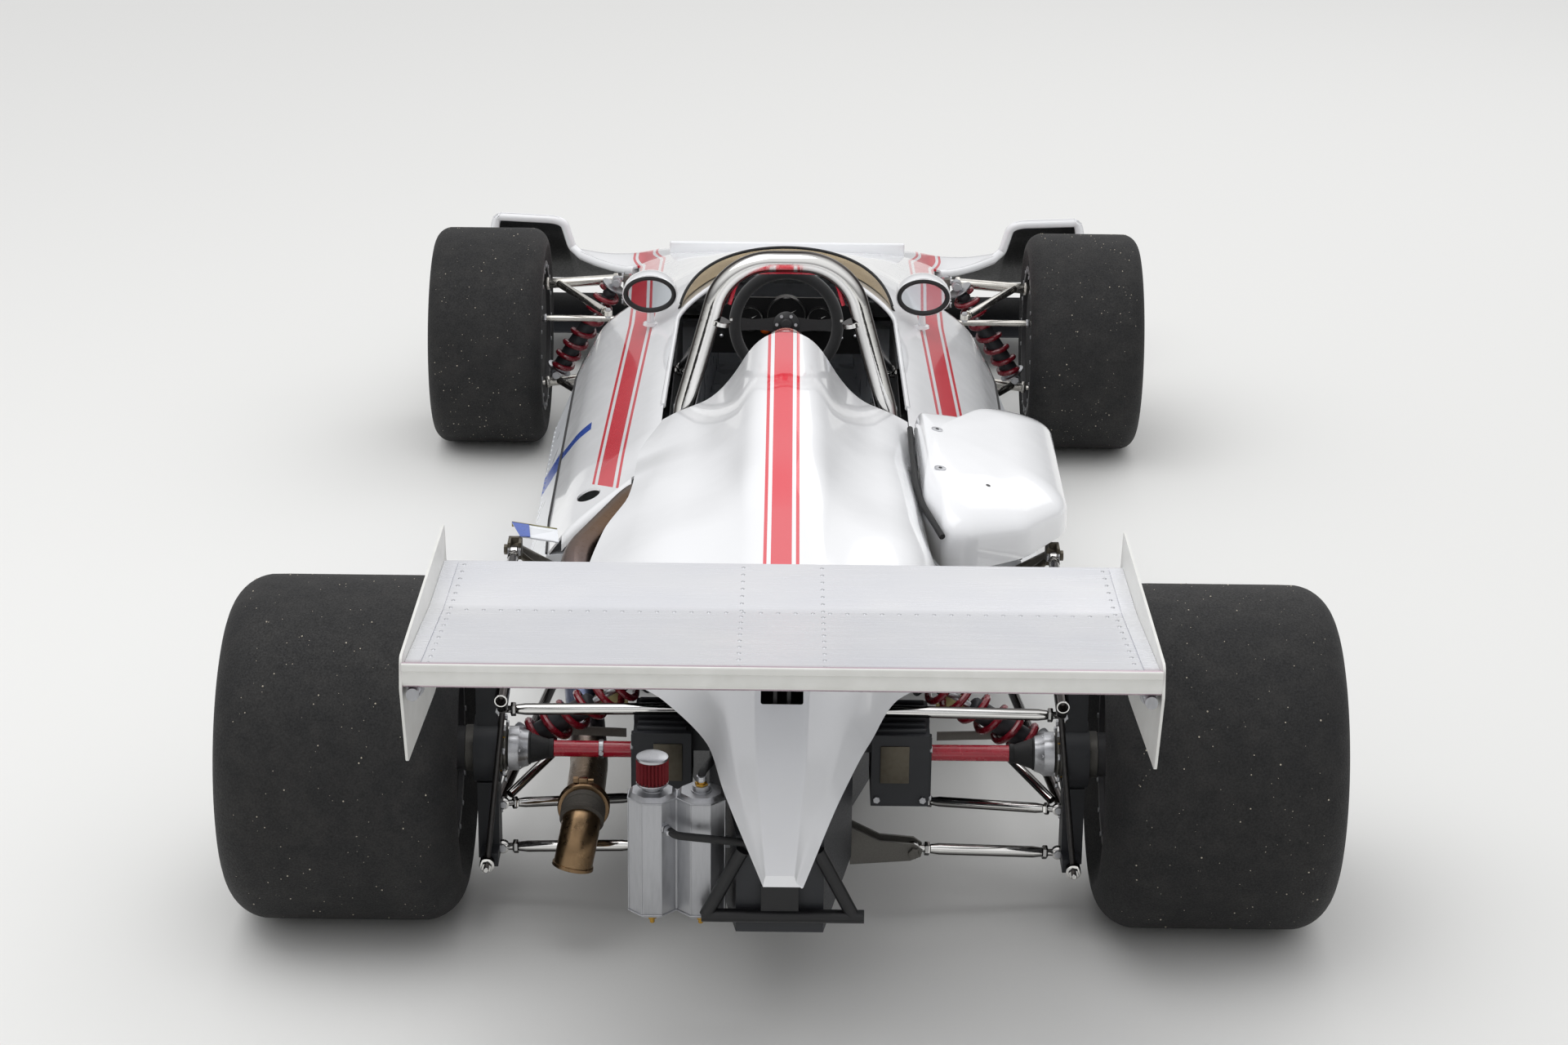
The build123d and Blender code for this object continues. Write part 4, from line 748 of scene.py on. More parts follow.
def makeNose():
    rows = [(y, mirroredLine([(nose["half"], nose["floor"]), *zip(nose["turns"], heights)]))
            for y, *heights in nose["rows"]]
    grid = smoothLoft(rows, nose["shares"] + nose["shares"][::-1], 44)
    made = newObject("nose_cowl_skin", [thickPart(grid, nose["wall"])], ("shellPaint", "resin"))
    back, fairing, side, corner = nose["back"], nose["fairingBack"], nose["side"], nose["corner"]
    foot, body = nose["turns"][2], nose["turns"][4]
    for hand in (1, -1):
        behind = [(foot, fairing), (body, back), (body, back + 60), (side, back + 60), (side, fairing)]
        x, y = nose["half"] - corner, nose["rows"][0][0] + corner
        ahead = [(x + corner * cos(a), y - corner * sin(a)) for a in np.linspace(0, pi / 2, 13)]
        ahead += [(x, y - 2 * corner), (x + 2 * corner, y - 2 * corner), (x + 2 * corner, y)]
        for plan in (behind, ahead):
            cutAway(made, [column([(hand * px, py) for px, py in plan], 0, 600)])
    cutAway(made, [boxPart(*nose["slot"])])
    shadeSmooth(made)
    place(made, "white_paint", stands=["nose_cowl"])
    return grid


def makeNoseLip(grid):
    # the thick rolled edge at the back of a fairing, down to the body
    fairing, back, lip = nose["fairingBack"], nose["back"], nose["lip"]
    foot, body = nose["turns"][2], nose["turns"][4]
    line = [Vector(p) for p in sectionAt(grid, fairing) if p[0] >= foot - 2]
    for t in np.linspace(0, 1, 9)[1:]:
        x, y = foot + (body - foot) * t, fairing + (back - fairing) * t
        row = sectionAt(grid, min(y, back))
        half = row[row[:, 0] >= 0][::-1]
        line.append(Vector((x, y, float(np.interp(x, half[:, 0], half[:, 2])))))
    return tube([p + Vector((0, -5, -lip) if p.x < 730 else (-lip, -5, 0)) for p in line], lip, 12)


piece("nose_rear_lips", bothSides([makeNoseLip(makeNose())]), "plainPaint", "white_paint")
piece("nose_cross_lip", [boxPart(*nose["bar"])], "plainPaint", "white_paint")
piece("nose_floor_pan", [boxPart(*nose["pan"])], "darkCast", "white_paint")
print("nose made")


# engine cover, headrest and tail: y, hem left and right (half widths), hem z (or left z, right z), then deck,
# neck and crest (half width, z)
hood = {
    "cover": [
        (rearY - 1110, 243, 243, 508, 212, 526, 128, 560, 50, 692),
        (rearY - 895, 284, 243, (502, 492), 222, 530, 130, 562, 50, 676),
        (rearY - 755, 284, 252, (514, 480), 228, 539, 128, 566, 50, 660),
        (rearY - 650, 290, 260, (514, 471), 234, 543, 122, 570, 50, 648),
        (rearY - 520, 330, 268, (494, 462), 240, 545, 118, 574, 50, 637),
        (rearY - 325, 354, 288, (466, 450), 250, 548, 108, 585, 48, 614),
        (rearY + 15, 268, 250, 430, 212, 545, 98, 588, 45, 604)],
    "headrest": [
        (rearY - 1249, 16, 16, 600, 15, 615, 12, 640, 6, 655),
        (rearY - 1190, 84, 84, 510, 80, 520, 62, 575, 32, 676),
        (rearY - 1108, 127, 127, 510, 126, 520, 122, 560, 49, 692)],
    "tail": [
        (rearY + 17, 266, 250, 430, 210, 545, 96, 588, 45, 604),
        (rearY + 130, 195, 185, 440, 150, 520, 80, 566, 44, 592),
        (rearY + 300, 120, 140, 440, 98, 500, 62, 530, 42, 548),
        (rearY + 430, 90, 98, 415, 74, 450, 50, 476, 38, 490),
        (rearY + 620, 26, 36, 345, 25, 352, 24, 358, 22, 364)],
    "shares": {"cover": (0, 0.42, 0.5, 0.42), "headrest": (0, 0.3, 0.5, 0.45), "tail": (0, 0.35, 0.45, 0.2)},
    "wall": 4, "tip": 3, "slot": ((-34, rearY + 290, 440), (34, rearY + 345, 700), 4)}


def hoodLine(left, right, hemZ, *upper):
    leftZ, rightZ = hemZ if isinstance(hemZ, tuple) else (hemZ, hemZ)
    deckToCrest = list(zip(upper[::2], upper[1::2]))
    return [(left, leftZ), *mirroredLine(deckToCrest), (-right, rightZ)]


def makeHood(name, part, steps, finish):
    shares = hood["shares"][part]
    grid = smoothLoft([(y, hoodLine(*rest)) for y, *rest in hood[part]], shares + shares[::-1], steps)
    return newObject(name, [thickPart(grid, hood["wall"])], (finish, "resin")), grid


def makeHoods():
    cover, _ = makeHood("engine_cover_skin", "cover", 50, "coverPaint")
    place(cover, "white_paint", stands=["engine_cover"])
    headrest, _ = makeHood("headrest_fairing", "headrest", 20, "coverPaint")
    place(headrest, "white_paint")
    tail, grid = makeHood("tail_fairing_skin", "tail", 44, "plainPaint")
    cutAway(tail, [boxPart(*hood["slot"])])
    shadeSmooth(tail)
    place(tail, "white_paint", stands=["tail_fairing"])
    end = [Vector(p) for p in grid[-1]]
    closing = closedLoft([end, [p - Vector((0, hood["tip"], 0)) for p in end]])
    piece("tail_fairing_tip", [closing], "plainPaint", "white_paint")


makeHoods()
print("covers made")


# small parts of the airbox: turned profiles (along, radius) of its washers, screws and hole, their places, and
# the rubber strip where it meets the cover
airboxTrim = {"screws": [(-293, rearY - 918), (-291, rearY - 705)], "hole": (-380, rearY - 678),
              "washer": [(-1, 11), (1, 11), (1.8, 9), (1.2, 4), (0.6, 0.1)],
              "screw": [(0.8, 3.4), (2.2, 3.2), (2.4, 0.1)], "plug": [(-1, 4.5), (0.6, 4.5), (0.8, 0.1)],
              "strip": [(-246, rearY - 1058, 512), (-246, rearY - 900, 510), (-249, rearY - 730, 508),
                        (-258, rearY - 640, 505), (-276, rearY - 568, 498), (-290, rearY - 530, 486)]}


def makeAirbox():
    ring = planRing(airbox["plan"], 10)
    middleX = (airbox["plan"][0][0] + airbox["plan"][3][0]) / 2
    (crownX, crownY), taper = airbox["crown"], airbox["taper"]
    wall, edge, rings = airbox["wall"], airbox["edge"], []
    top = wall + edge
    levels = [(wall * share, 0) for share in (0, 0.3, 0.7)]
    levels += [(wall + edge * sin(a), taper * (1 - cos(a))) for a in np.linspace(0, pi / 2, 14)]
    levels += [(top + rise, taper + more) for rise, more in airbox["top"]]
    for rise, share in levels:
        slope = radians(airbox["tilt"] * min(rise / top, 1))
        rings.append([])
        for p in ring:
            x, y = crownX + (p.x - crownX) * (1 - share) - middleX, crownY + (p.y - crownY) * (1 - share)
            rings[-1].append(Vector((middleX + x * cos(slope), y, airbox["bottom"] + rise + x * sin(slope))))
    body = closedLoft(rings)
    return piece("airbox_shell", [body], "plainPaint", "white_paint", stands=["airbox"], crease=40)


def makeAirboxTrim(made):
    surface = surfaceOfPiece(made)
    spots = [dropOn(surface, x, y) for x, y in airboxTrim["screws"]]
    washers = [turned(airboxTrim["washer"], at, normal, 28) for at, normal in spots]
    screws = [turned(airboxTrim["screw"], at, normal, 6) for at, normal in spots]
    screws.append(turned(airboxTrim["plug"], *dropOn(surface, *airboxTrim["hole"]), 20))
    piece("airbox_washers", washers, "machined", "wheel_metal")
    piece("airbox_screws", screws, "blackSteel", "black_steel")
    strip = tube(roundedPath(airboxTrim["strip"], 300, 6), 6, 10)
    piece("airbox_seam_strip", [strip], "rubber", "black_rubber")


makeAirboxTrim(makeAirbox())
print("airbox made")


# tinted screen: half width and reach of its curve at the base and at the top, and the slope of its upper edge
screen = {"base": (243, 235), "baseZ": 470, "top": (205, 140), "topZ": 630, "middle": rearY - 1852, "lean": 27,
          "lowest": 440, "sweep": 86, "wall": 3, "edgeAt": (rearY - 1975, 613), "edgeSlope": -113 / 140}


def screenPoint(angle, z):
    share = (z - screen["baseZ"]) / (screen["topZ"] - screen["baseZ"])
    across, reach = [low + (high - low) * share for low, high in zip(screen["base"], screen["top"])]
    return Vector((across * sin(angle), screen["middle"] + screen["lean"] * share - reach * cos(angle), z))


def underShell(p):
    hit, _ = dropOn(shellSurface, p.x, p.y)
    return hit is None or hit.z > p.z


def underEdge(p):
    return p.z < screen["edgeAt"][1] + screen["edgeSlope"] * (p.y - screen["edgeAt"][0])


def heightWhere(angle, low, isUnder):
    # the height at which the screen's line at this angle leaves the shell, or its own upper edge
    high = screen["topZ"]
    for _ in range(30):
        middle = (low + high) / 2
        low, high = (middle, high) if isUnder(screenPoint(angle, middle)) else (low, middle)
    return low


def makeScreen():
    grid = []
    for angle in np.linspace(-radians(screen["sweep"]), radians(screen["sweep"]), 61):
        foot = heightWhere(angle, screen["lowest"], underShell)
        head = heightWhere(angle, foot, underEdge)
        if head - foot >= 4:
            grid.append([screenPoint(angle, foot + (head - foot) * t) for t in np.linspace(0, 1, 12)])
    pane = thickPart(grid, screen["wall"])
    piece("windscreen_pane", [pane], "acrylic", "tinted_screen", stands=["windscreen"])
    edging = [tube([row[-1] for row in grid], 3.2, 8), tube([row[0] for row in grid], 3.5, 8)]
    piece("windscreen_edging", edging, "rubber", "black_rubber")


makeScreen()
print("screen made")


# tyres and wheels: bead is the radius of the tyre's inner edge, trim how far the rim's face is from its middle
tyres = {"front": {"radius": 253.5, "section": 262, "shoulder": 38, "halfTrack": 696, "y": frontY, "rim": 254,
                   "trim": 127},
         "rear": {"radius": 293.5, "section": 401, "shoulder": 72, "halfTrack": 734, "y": rearY, "rim": 356,
                  "trim": 178},
         "bead": 166, "beadWidth": 18, "seat": 9, "grit": 420}


def tyreProfile(size):
    # the section from the inner bead over the tread to the outer bead, as (along, radius)
    spec = tyres[size]
    half, big, shoulder = spec["section"] / 2, spec["radius"], spec["shoulder"]
    tread, seatX, wallTop = half - shoulder, spec["rim"] / 2 - tyres["seat"], big - shoulder
    foot = tyres["bead"] + tyres["beadWidth"]
    side = [(seatX, tyres["bead"]), (seatX, foot)]
    for t in np.linspace(0, 1, 9)[1:]:
        bulge = sin(pi * t) * 3
        side.append((seatX + (half - seatX) * t ** 0.8 - bulge * 0.3, foot + (wallTop - foot) * t))
    for a in np.linspace(0, pi / 2, 13)[1:-1]:
        side.append((tread + shoulder * cos(a), wallTop + shoulder * sin(a)))
    flat = [(tread * t, big) for t in np.linspace(1, -1, 15)[1:-1]]
    return side + flat + [(-x, r) for x, r in side[::-1]]


def tyreGrit(spec, centre, draw):
    specks, half, shoulder = [], spec["section"] / 2, spec["shoulder"]
    for _ in range(tyres["grit"]):
        angle, across = draw.uniform(0, 2 * pi), draw.uniform(-(half - shoulder * 0.5), half - shoulder * 0.5)
        grain = draw.uniform(0.5, 1.1) if draw.random() < 0.75 else draw.uniform(1.1, 2.0)
        beyond, normal = max(abs(across) - (half - shoulder), 0), spokeOut(angle)
        radius = spec["radius"] - shoulder + sqrt(shoulder ** 2 - beyond ** 2)
        # none where the tyre stands on the ground
        if normal.z >= -0.85:
            specks.append((centre + Vector((across, 0, 0)) + normal * (radius - 0.3), normal, grain))
    return [turned([(-0.4, grain), (grain * 0.5, grain * 0.7), (grain * 0.8, grain * 0.2)], at, normal, 5,
                   draw.uniform(0, 6)) for at, normal, grain in specks]


def makeTyre(size, hand):
    spec, side = tyres[size], "left" if hand > 0 else "right"
    centre, wheel = Vector((hand * spec["halfTrack"], spec["y"], spec["radius"])), f"{size}_{side}_wheel"
    carcass = turned(tyreProfile(size), centre, (1, 0, 0), 128)
    piece(f"{size}_{side}_tyre_carcass", [carcass], "slick", "slick_rubber", wheel, [f"{size}_{side}_tyre"],
          crease=30)
    grit = tyreGrit(spec, centre, random.Random(f"{size}{side}"))
    piece(f"{size}_{side}_tread_grit", grit, "grit", "slick_rubber", wheel, crease=20)


for size in ("front", "rear"):
    for hand in (1, -1):
        makeTyre(size, hand)
print("tyres made")


# springs: lower and upper end, diameter and turns; uprightX and kingpinX are where wheels are carried
uprightX, kingpinX = 500, 600
springs = {"rear": ((uprightX - 48, rearY - 70, 270), (232, rearY - 55, 415), 68, 6.5),
           "front": ((kingpinX - 56, frontY + 32, 170), (kingpinX - 202, frontY + 45, 402), 60, 7),
           "wire": 12.5, "start": 24, "pointsPerTurn": 26}


def coil(low, high, diameter, turns):
    a, b = Vector(low), Vector(high)
    axis, side, up = crossFrame(b - a)
    length, radius = (b - a).length - 2 * springs["start"], (diameter - springs["wire"]) / 2
    steps, points = int(turns * springs["pointsPerTurn"]), []
    for k in range(steps + 1):
        t = k / steps
        along, angle = springs["start"] + length * (t - sin(2 * pi * t) * 0.02), 2 * pi * turns * t
        points.append(a + axis * along + (side * cos(angle) + up * sin(angle)) * radius)
    return tube(points, springs["wire"] / 2, 9)


piece("coil_springs", bothSides([coil(*springs["rear"]), coil(*springs["front"])]), "redSteel", "red_steel",
      stands=["springs"])
print("springs made")


# rods with a jam nut and a ball end at both tips; lengths along a rod are in rod diameters

def rodEnd(tip, way, diameter, eyeAxis, bolted=True):
    radius, axis = diameter / 2, Vector(eyeAxis).normalized()
    eye = [(radius * along, radius * r) for along, r in ((-0.7, 0.7), (-0.55, 1.12), (0.55, 1.12), (0.7, 0.7))]
    parts = [hexNut(Vector(tip) + way * diameter * 0.95, way, diameter * 1.05, diameter * 0.42),
             turned(eye, tip, axis, 20)]
    if bolted:
        nutAt, flats, height = radius * 0.6, radius * 1.3, radius * 0.6
        parts += inSlot([hexNut(Vector(tip) + axis * nutAt * side, axis * side, flats, height)
                         for side in (1, -1)], 1)
    return parts


def rodParts(start, end, diameter, eyeAxis=(0, 0, 1), bolted=(True, True), taper=2.2):
    a, b = Vector(start), Vector(end)
    way, length, radius = (b - a).normalized(), (b - a).length, diameter / 2
    neck, reach = radius * 0.62, taper * diameter
    half = [(0, neck), (reach * 0.62, neck), (reach * 0.66, radius * 0.8), (reach, radius)]
    profile = half + [(length - along, r) for along, r in reversed(half)]
    return [turned(profile, a, way, 20), *rodEnd(a, way, diameter, eyeAxis, bolted[0]),
            *rodEnd(b, -way, diameter, eyeAxis, bolted[1])]


# rear wing: section corners behind and above the leading edge with their radii, a row and columns (x) of
# rivets, the folded flange at each end (inner x, outer x, rise), and the bracing tube under each end
wing = {
    "leading": rearY + 190, "leadingZ": 708, "halfSpan": 547, "flap": 634,
    "section": [(0, -9, 4), (190, -34, 250), (637, 52, 16), (637, 78, 1), (640, 80, 1), (640, 91, 3),
                (631, 91, 2), (628, 80, 8), (250, 22, 400), (0, 3, 4)],
    "rivet": (3.3, 1.3), "row": rearY + 456, "pitch": 26.7, "columns": (64, -62, 538, 513, -538, -513),
    "columnSpan": (rearY + 215, rearY + 805), "columnPitch": 38, "flange": (524, 547, 1.2),
    "flangeSpan": (12, 620),
    "tube": ((533, rearY + 823, 748), (533, rearY + 445, 674)), "tubeRadius": 9.5, "foot": 14,
    "collar": [(-4, 12.5), (4, 12.5)], "collars": (0.12, 0.5, 0.86)}
# end plates: bolts (y, z) through them along the wing's end
endPlate = {"outer": 551, "bolt": (5.5, 2.2),
            "bolts": [(rearY + 230, 712), (rearY + 390, 712), (rearY + 550, 728), (rearY + 700, 752),
                      (rearY + 800, 772)]}


def makeWingSkin():
    ring = planRing(wing["section"], 14)
    half, leading, z = wing["halfSpan"], wing["leading"], wing["leadingZ"]
    points, faces = closedLoft([[(half * share, leading + p.x, z + p.y) for p in ring]
                                for share in np.linspace(-1, 1, 25)])
    slots = [int(min(points[index][1] for index in face) > leading + wing["flap"]) for face in faces]
    return piece("wing_skin", [(points, faces, slots)], ("wingMetal", "platePaint"), "sheet_aluminium",
                 stands=["rear_wing"], crease=30)


def makeWingRivets(surface):
    spots = [(x, wing["row"]) for x in np.arange(-500, 501, wing["pitch"])]
    spots += [(x, y) for x in wing["columns"] for y in np.arange(*wing["columnSpan"], wing["columnPitch"])]
    heads = [spot for spot in (dropOn(surface, x, y) for x, y in spots) if spot[0]]
    piece("wing_rivets", domes(heads, *wing["rivet"]), "tankMetal", "sheet_aluminium", crease=60)


def makeWingEnds(surface):
    near, far, lift = wing["flange"]
    first, last = [wing["leading"] + y for y in wing["flangeSpan"]]
    strips = []
    for hand in (1, -1):
        across = [hand * x for x in (near, (near + far) / 2, far - 0.5)][::hand]
        rows = [[dropOn(surface, x, y)[0] + Vector((0, 0, lift)) for x in across]
                for y in np.linspace(first, last, 31)]
        strips.append(thickPart(rows, lift)[:2])
    piece("wing_end_flanges", strips, "wingMetal", "sheet_aluminium")
    rear, front = [Vector(point) for point in wing["tube"]]
    braces = [tube([rear, front], wing["tubeRadius"], 20)]
    braces.append(tube([front, front + Vector((12, 0, 0))], wing["foot"], 20))
    braces += [turned(wing["collar"], rear.lerp(front, share), front - rear, 20) for share in wing["collars"]]
    piece("wing_end_tubes", bothSides(braces), "tankMetal", "sheet_aluminium")


def makeEndPlateBolts():
    heads = [((endPlate["outer"], y, z), (1, 0, 0)) for y, z in endPlate["bolts"]]
    bolts = bothSides(domes(heads, *endPlate["bolt"], 14))
    piece("end_plate_bolts", bolts, "machined", "sheet_aluminium", crease=60)


wingSurface = surfaceOfPiece(makeWingSkin())
makeWingRivets(wingSurface)
makeWingEnds(wingSurface)
makeEndPlateBolts()
print("wing made")


# mirrors: a moulded pod with a black rim round the glass, on a stalk with a screwed pad
mirror = {"x": 296, "y": rearY - 1800, "z": 556, "half": (60, 42), "pod": 115,
          "rim": 5.5, "rimAt": (0.875, -3.5),
          "mouth": ((0.955, -9), (0.955, -1), (0.985, 0), (1.0, -3)), "bulge": 2.6,
          "stalk": ((296, rearY - 1845, 476), (296, rearY - 1843.5, 514), (296, rearY - 1842, 552)),
          "stalkRadii": (9, 7, 8), "pad": [(-2, 17), (3, 16), (5, 12)],
          "screws": (13, -13), "screw": (2.2, 1.2)}


def podRing(share, y):
    (x, z), (halfX, halfZ) = (mirror["x"], mirror["z"]), mirror["half"]
    return [(x + halfX * share * cos(a), mirror["y"] + y, z + halfZ * share * sin(a)) for a in anglesRound(40)]


def makeMirrors():
    rings = [podRing(share, y) for share, y in mirror["mouth"]]
    for t in np.linspace(0.04, 1, 14):
        share = max((1 - t ** mirror["bulge"]) ** 0.5, 0.3 * (1 - t) + 0.02)
        rings.append(podRing(share, -3 - (mirror["pod"] - 6) * t))
    foot = Vector(mirror["stalk"][0])
    pods = [closedLoft(rings), tube(mirror["stalk"], mirror["stalkRadii"], 16),
            turned(mirror["pad"], foot, (0, 0, 1), 24)]
    spots = [(foot + Vector((x, 0, 3)), (0, 0, 1)) for x in mirror["screws"]]
    piece("mirror_pods", bothSides(pods), "plainPaint", "white_paint", stands=["mirrors"])
    rim = tube(podRing(*mirror["rimAt"]), mirror["rim"], 10, closed=True)
    piece("mirror_rims", bothSides([rim]), "rubber", "black_rubber")
    piece("mirror_screws", bothSides(domes(spots, *mirror["screw"])), "machined", "cast_magnesium")


makeMirrors()
print("mirrors made")


# half shafts: turned profiles (distance from the car's middle, radius) of the red tube, its clamp, bellows,
# plated cup and finned hub; then rings of bolts and of brass strips (count, first angle)
shaft = {
    "z": 293.5, "tube": [(218, 17), (226, 17), (232, 14), (385, 14), (395, 16)],
    "clamp": [(303, 14), (304, 16.5), (311, 16.5), (312, 14)], "clampBolt": (307, 15),
    "bellows": [(388, 15), (389, 17), (395, 17), (397, 16), (409, 20), (427, 26), (428, 28), (433, 28)],
    "cup": [(430, 20), (431, 30), (440, 33), (446, 37), (448, 38), (464, 38), (466, 30)],
    "hubFront": [(466, 31)], "fins": (468, 496, 6), "fin": ((0, 33), (0.4, 39), (3.2, 39), (3.6, 33)),
    "hubBack": [(501, 33), (502, 40), (537, 40), (537, 20)],
    "bolts": (6, 0.3), "boltAt": (447, 33.5),
    "strips": (3, 0.9), "stripAt": (469, 498, 38.6), "stripRadius": 1.4}


def makeHalfShaft(hand):
    origin, axis, side = Vector((0, rearY, shaft["z"])), Vector((hand, 0, 0)), "left" if hand > 0 else "right"
    plated = [turned(shaft["cup"], origin, axis, 48)]
    if hand > 0:
        x, drop = shaft["clampBolt"]
        plated = [turned(shaft["clamp"], origin, axis, 36),
                  hexNut(origin + Vector((x, drop, 0)), (0, 1, 0), 8, 5), *plated]
    x, radius = shaft["boltAt"]
    plated += [hexNut(origin + axis * x + spokeOut(a) * radius, -axis, 6.5, 4)
               for a in anglesRound(*shaft["bolts"])]
    fins = [(x + step, radius) for x in np.linspace(*shaft["fins"]) for step, radius in shaft["fin"]]
    hub = turned(shaft["hubFront"] + fins + shaft["hubBack"], origin, axis, 48)
    start, end, radius = shaft["stripAt"]
    strips = [tube([origin + spokeOut(a) * radius + axis * x for x in (start, end)], shaft["stripRadius"], 8)
              for a in anglesRound(*shaft["strips"])]
    parts = [turned(shaft["tube"], origin, axis, 36), *inSlot(plated, 1),
             *inSlot([turned(shaft["bellows"], origin, axis, 36)], 2), *inSlot([hub], 3), *inSlot(strips, 4)]
    piece(f"{side}_half_shaft", parts, ("brightRed", "machined", "rubber", "magnesium", "brass"), "red_steel",
          f"rear_{side}_wheel", [f"rear_{side}_drive_shaft"], crease=30)


for hand in (1, -1):
    makeHalfShaft(hand)
print("half shafts made")


# roll hoop trim: chromed clips, a red strip inside the bow, rod ends at the feet of the two rear stays
hoop = {"y": rearY - 1135,
        "strip": [(112, 741), (100, 782), (72, 806), (0, 808), (-72, 806), (-100, 782), (-112, 741)],
        "clip": [(-5, 21.2), (-4, 22.6), (4, 22.6), (5, 21.2)], "clipAt": (133, 705),
        "clipWay": (0.28, 0, -0.96), "clipBolt": (111, 709),
        "stay": ((150, rearY - 1137, 700), (224, rearY - 1538, 472)), "stayRadius": 7.6, "sleeve": (6, 36),
        "neck": [(-26, 5), (0, 5)], "eye": [(-6, 8), (-5, 12), (5, 12), (6, 8)], "jamNut": 34}


def makeHoopTrim():
    y = hoop["y"]
    strip = tube(roundedPath([(x, y, z) for x, z in hoop["strip"]], 30, 4), 4, 8)
    piece("hoop_inner_strip", [strip], "brightRed", "red_steel")
    (x, z), (boltX, boltZ) = hoop["clipAt"], hoop["clipBolt"]
    clip = [turned(hoop["clip"], (x, y, z), hoop["clipWay"], 40), hexNut((boltX, y, boltZ), (-1, 0, 0), 8, 5)]
    piece("hoop_clips", bothSides(clip), "chrome", "wheel_metal")
    head, foot = [Vector(point) for point in hoop["stay"]]
    way, side = (foot - head).normalized(), Vector((1, 0, 0))
    tip = [hexNut(foot - way * hoop["jamNut"], way, 17, 8), turned(hoop["neck"], foot, way, 12),
           turned(hoop["eye"], foot, side, 20), hexNut(foot + side * 5, side, 12, 7),
           hexNut(foot - side * 5, -side, 12, 5)]
    piece("hoop_stay_ends", bothSides(tip), "chrome", "wheel_metal")
    start, end = hoop["sleeve"]
    sleeve = tube([head + way * start, foot - way * end], hoop["stayRadius"], 16)
    piece("hoop_stay_sleeves", bothSides([sleeve]), "blackSteel", "black_steel")


makeHoopTrim()


# cockpit: black liner along both walls (x, z), floor and rear bar
cockpit = {"liner": [(213.5, 96), (213.5, 296), (235, 304), (235, 470)], "wall": 2,
           "span": (rearY - 2070, rearY - 1212), "floor": (212, 95.5, 97.5),
           "bar": ((-213, rearY - 1246, 462), (213, rearY - 1212, 492), 4, 3)}
# dials: x, z, radius and depth; the sweep of their marks in degrees; then turned profiles (along, radius)
dash = {"face": rearY - 1795, "dials": [(0, 520, 42, 20), (78, 510, 27, 16), (-72, 511, 27, 16)],
        "sweep": (225, 270), "marks": 24, "needle": 150, "knob": [(0, 5), (2, 4)],
        "numbers": range(0, 11, 2), "numberSize": 0.0085, "numberDepth": 0.0002,
        "outline": [(-195, 430), (195, 430), (190, 492), (110, 556), (-110, 556), (-190, 492)],
        "switches": [(-150, 470), (-120, 465), (140, 468), (165, 465)],
        "switch": [(0, 8), (3, 8), (3.5, 4), (16, 3), (18, 4), (20, 1)],
        "lampAt": (45, 486), "lamp": [(0, 12), (8, 12), (12, 9), (14, 3)]}
# steering wheel: slope in degrees, spokes as (distance out, half width), then turned profiles along the column
steering = {"centre": (0, rearY - 1635, 543), "radius": 109, "grip": 13, "slope": 15.6,
            "spokes": (0, 180, 270), "spoke": ((20, 17), (40, 13), (70, 11), (100, 14)), "holes": (48, 66, 84),
            "hole": [(2, 5), (2.6, 5), (2.6, 3.5)],
            "hub": [(-8, 28), (6, 28), (8, 25), (8, 0.1)], "cap": [(8, 14), (16, 13), (19, 10), (20, 0.1)],
            "column": (340, 8, 9.5), "bolts": 6, "boltRing": 20, "stitches": 95, "rimPoints": 71}
lever = {"at": (-190, rearY - 1590, 378),
         "stick": [(0, 11), (6, 11), (8, 5), (90, 4.5), (94, 6), (98, 12), (108, 15), (116, 13), (118, 4)]}


def makeLiner():
    (first, last), wall = cockpit["span"], cockpit["wall"]
    rims = [row[0] for row in shell["rows"]], [row[6] for row in shell["rows"]]
    left = [[(x, y, min(z, float(np.interp(y, *rims)) - 14)) for x, z in cockpit["liner"]]
            for y in np.linspace(first, last, 24)]
    half, bottom, top = cockpit["floor"]
    floor = boxPart((-half, first, bottom), (half, last, top), 0.5)
    piece("cockpit_liner", bothSides([thickPart(left, -wall)[:2]]) + [floor], "vinyl", "seat_cover")
    piece("bulkhead_bar", [boxPart(*cockpit["bar"])], "tubPaint", "white_tub")


def dialAngle(share):
    start, sweep = dash["sweep"]
    return radians(start - sweep * share)


def makeDial(x, z, radius, depth):
    # housing, chromed ring, marks and needle
    y, ahead = dash["face"], (0, 1, 0)
    front = y + depth
    housing = [(0, radius), (depth, radius), (depth + 1, radius - 2), (depth - 2, radius - 4)]
    black = [turned(housing, (x, y, z), ahead), turned(dash["knob"], (x, front - 1, z), ahead, 20)]
    ring = turned([(depth - 1, radius + 0.3), (depth + 1.6, radius), (depth + 1.6, radius - 3),
                   (depth - 1, radius - 3.4)], (x, y, z), ahead)
    white = []
    for k in range(dash["marks"] + 1):
        a, length = dialAngle(k / dash["marks"]), (6 if k % 3 == 0 else 3) * radius / 42
        ends = [(x + r * cos(a), front - 1.2, z + r * sin(a)) for r in (radius - 6 - length, radius - 6)]
        white.append(tube(ends, 0.7 * radius / 42 + 0.2, 5))
    a = radians(dash["needle"])
    ends = [(x + r * cos(a), front - 0.6, z + r * sin(a)) for r in (-5, radius * 0.72)]
    white.append(tube(ends, [1.3, 0.5], 6))
    return black, ring, white


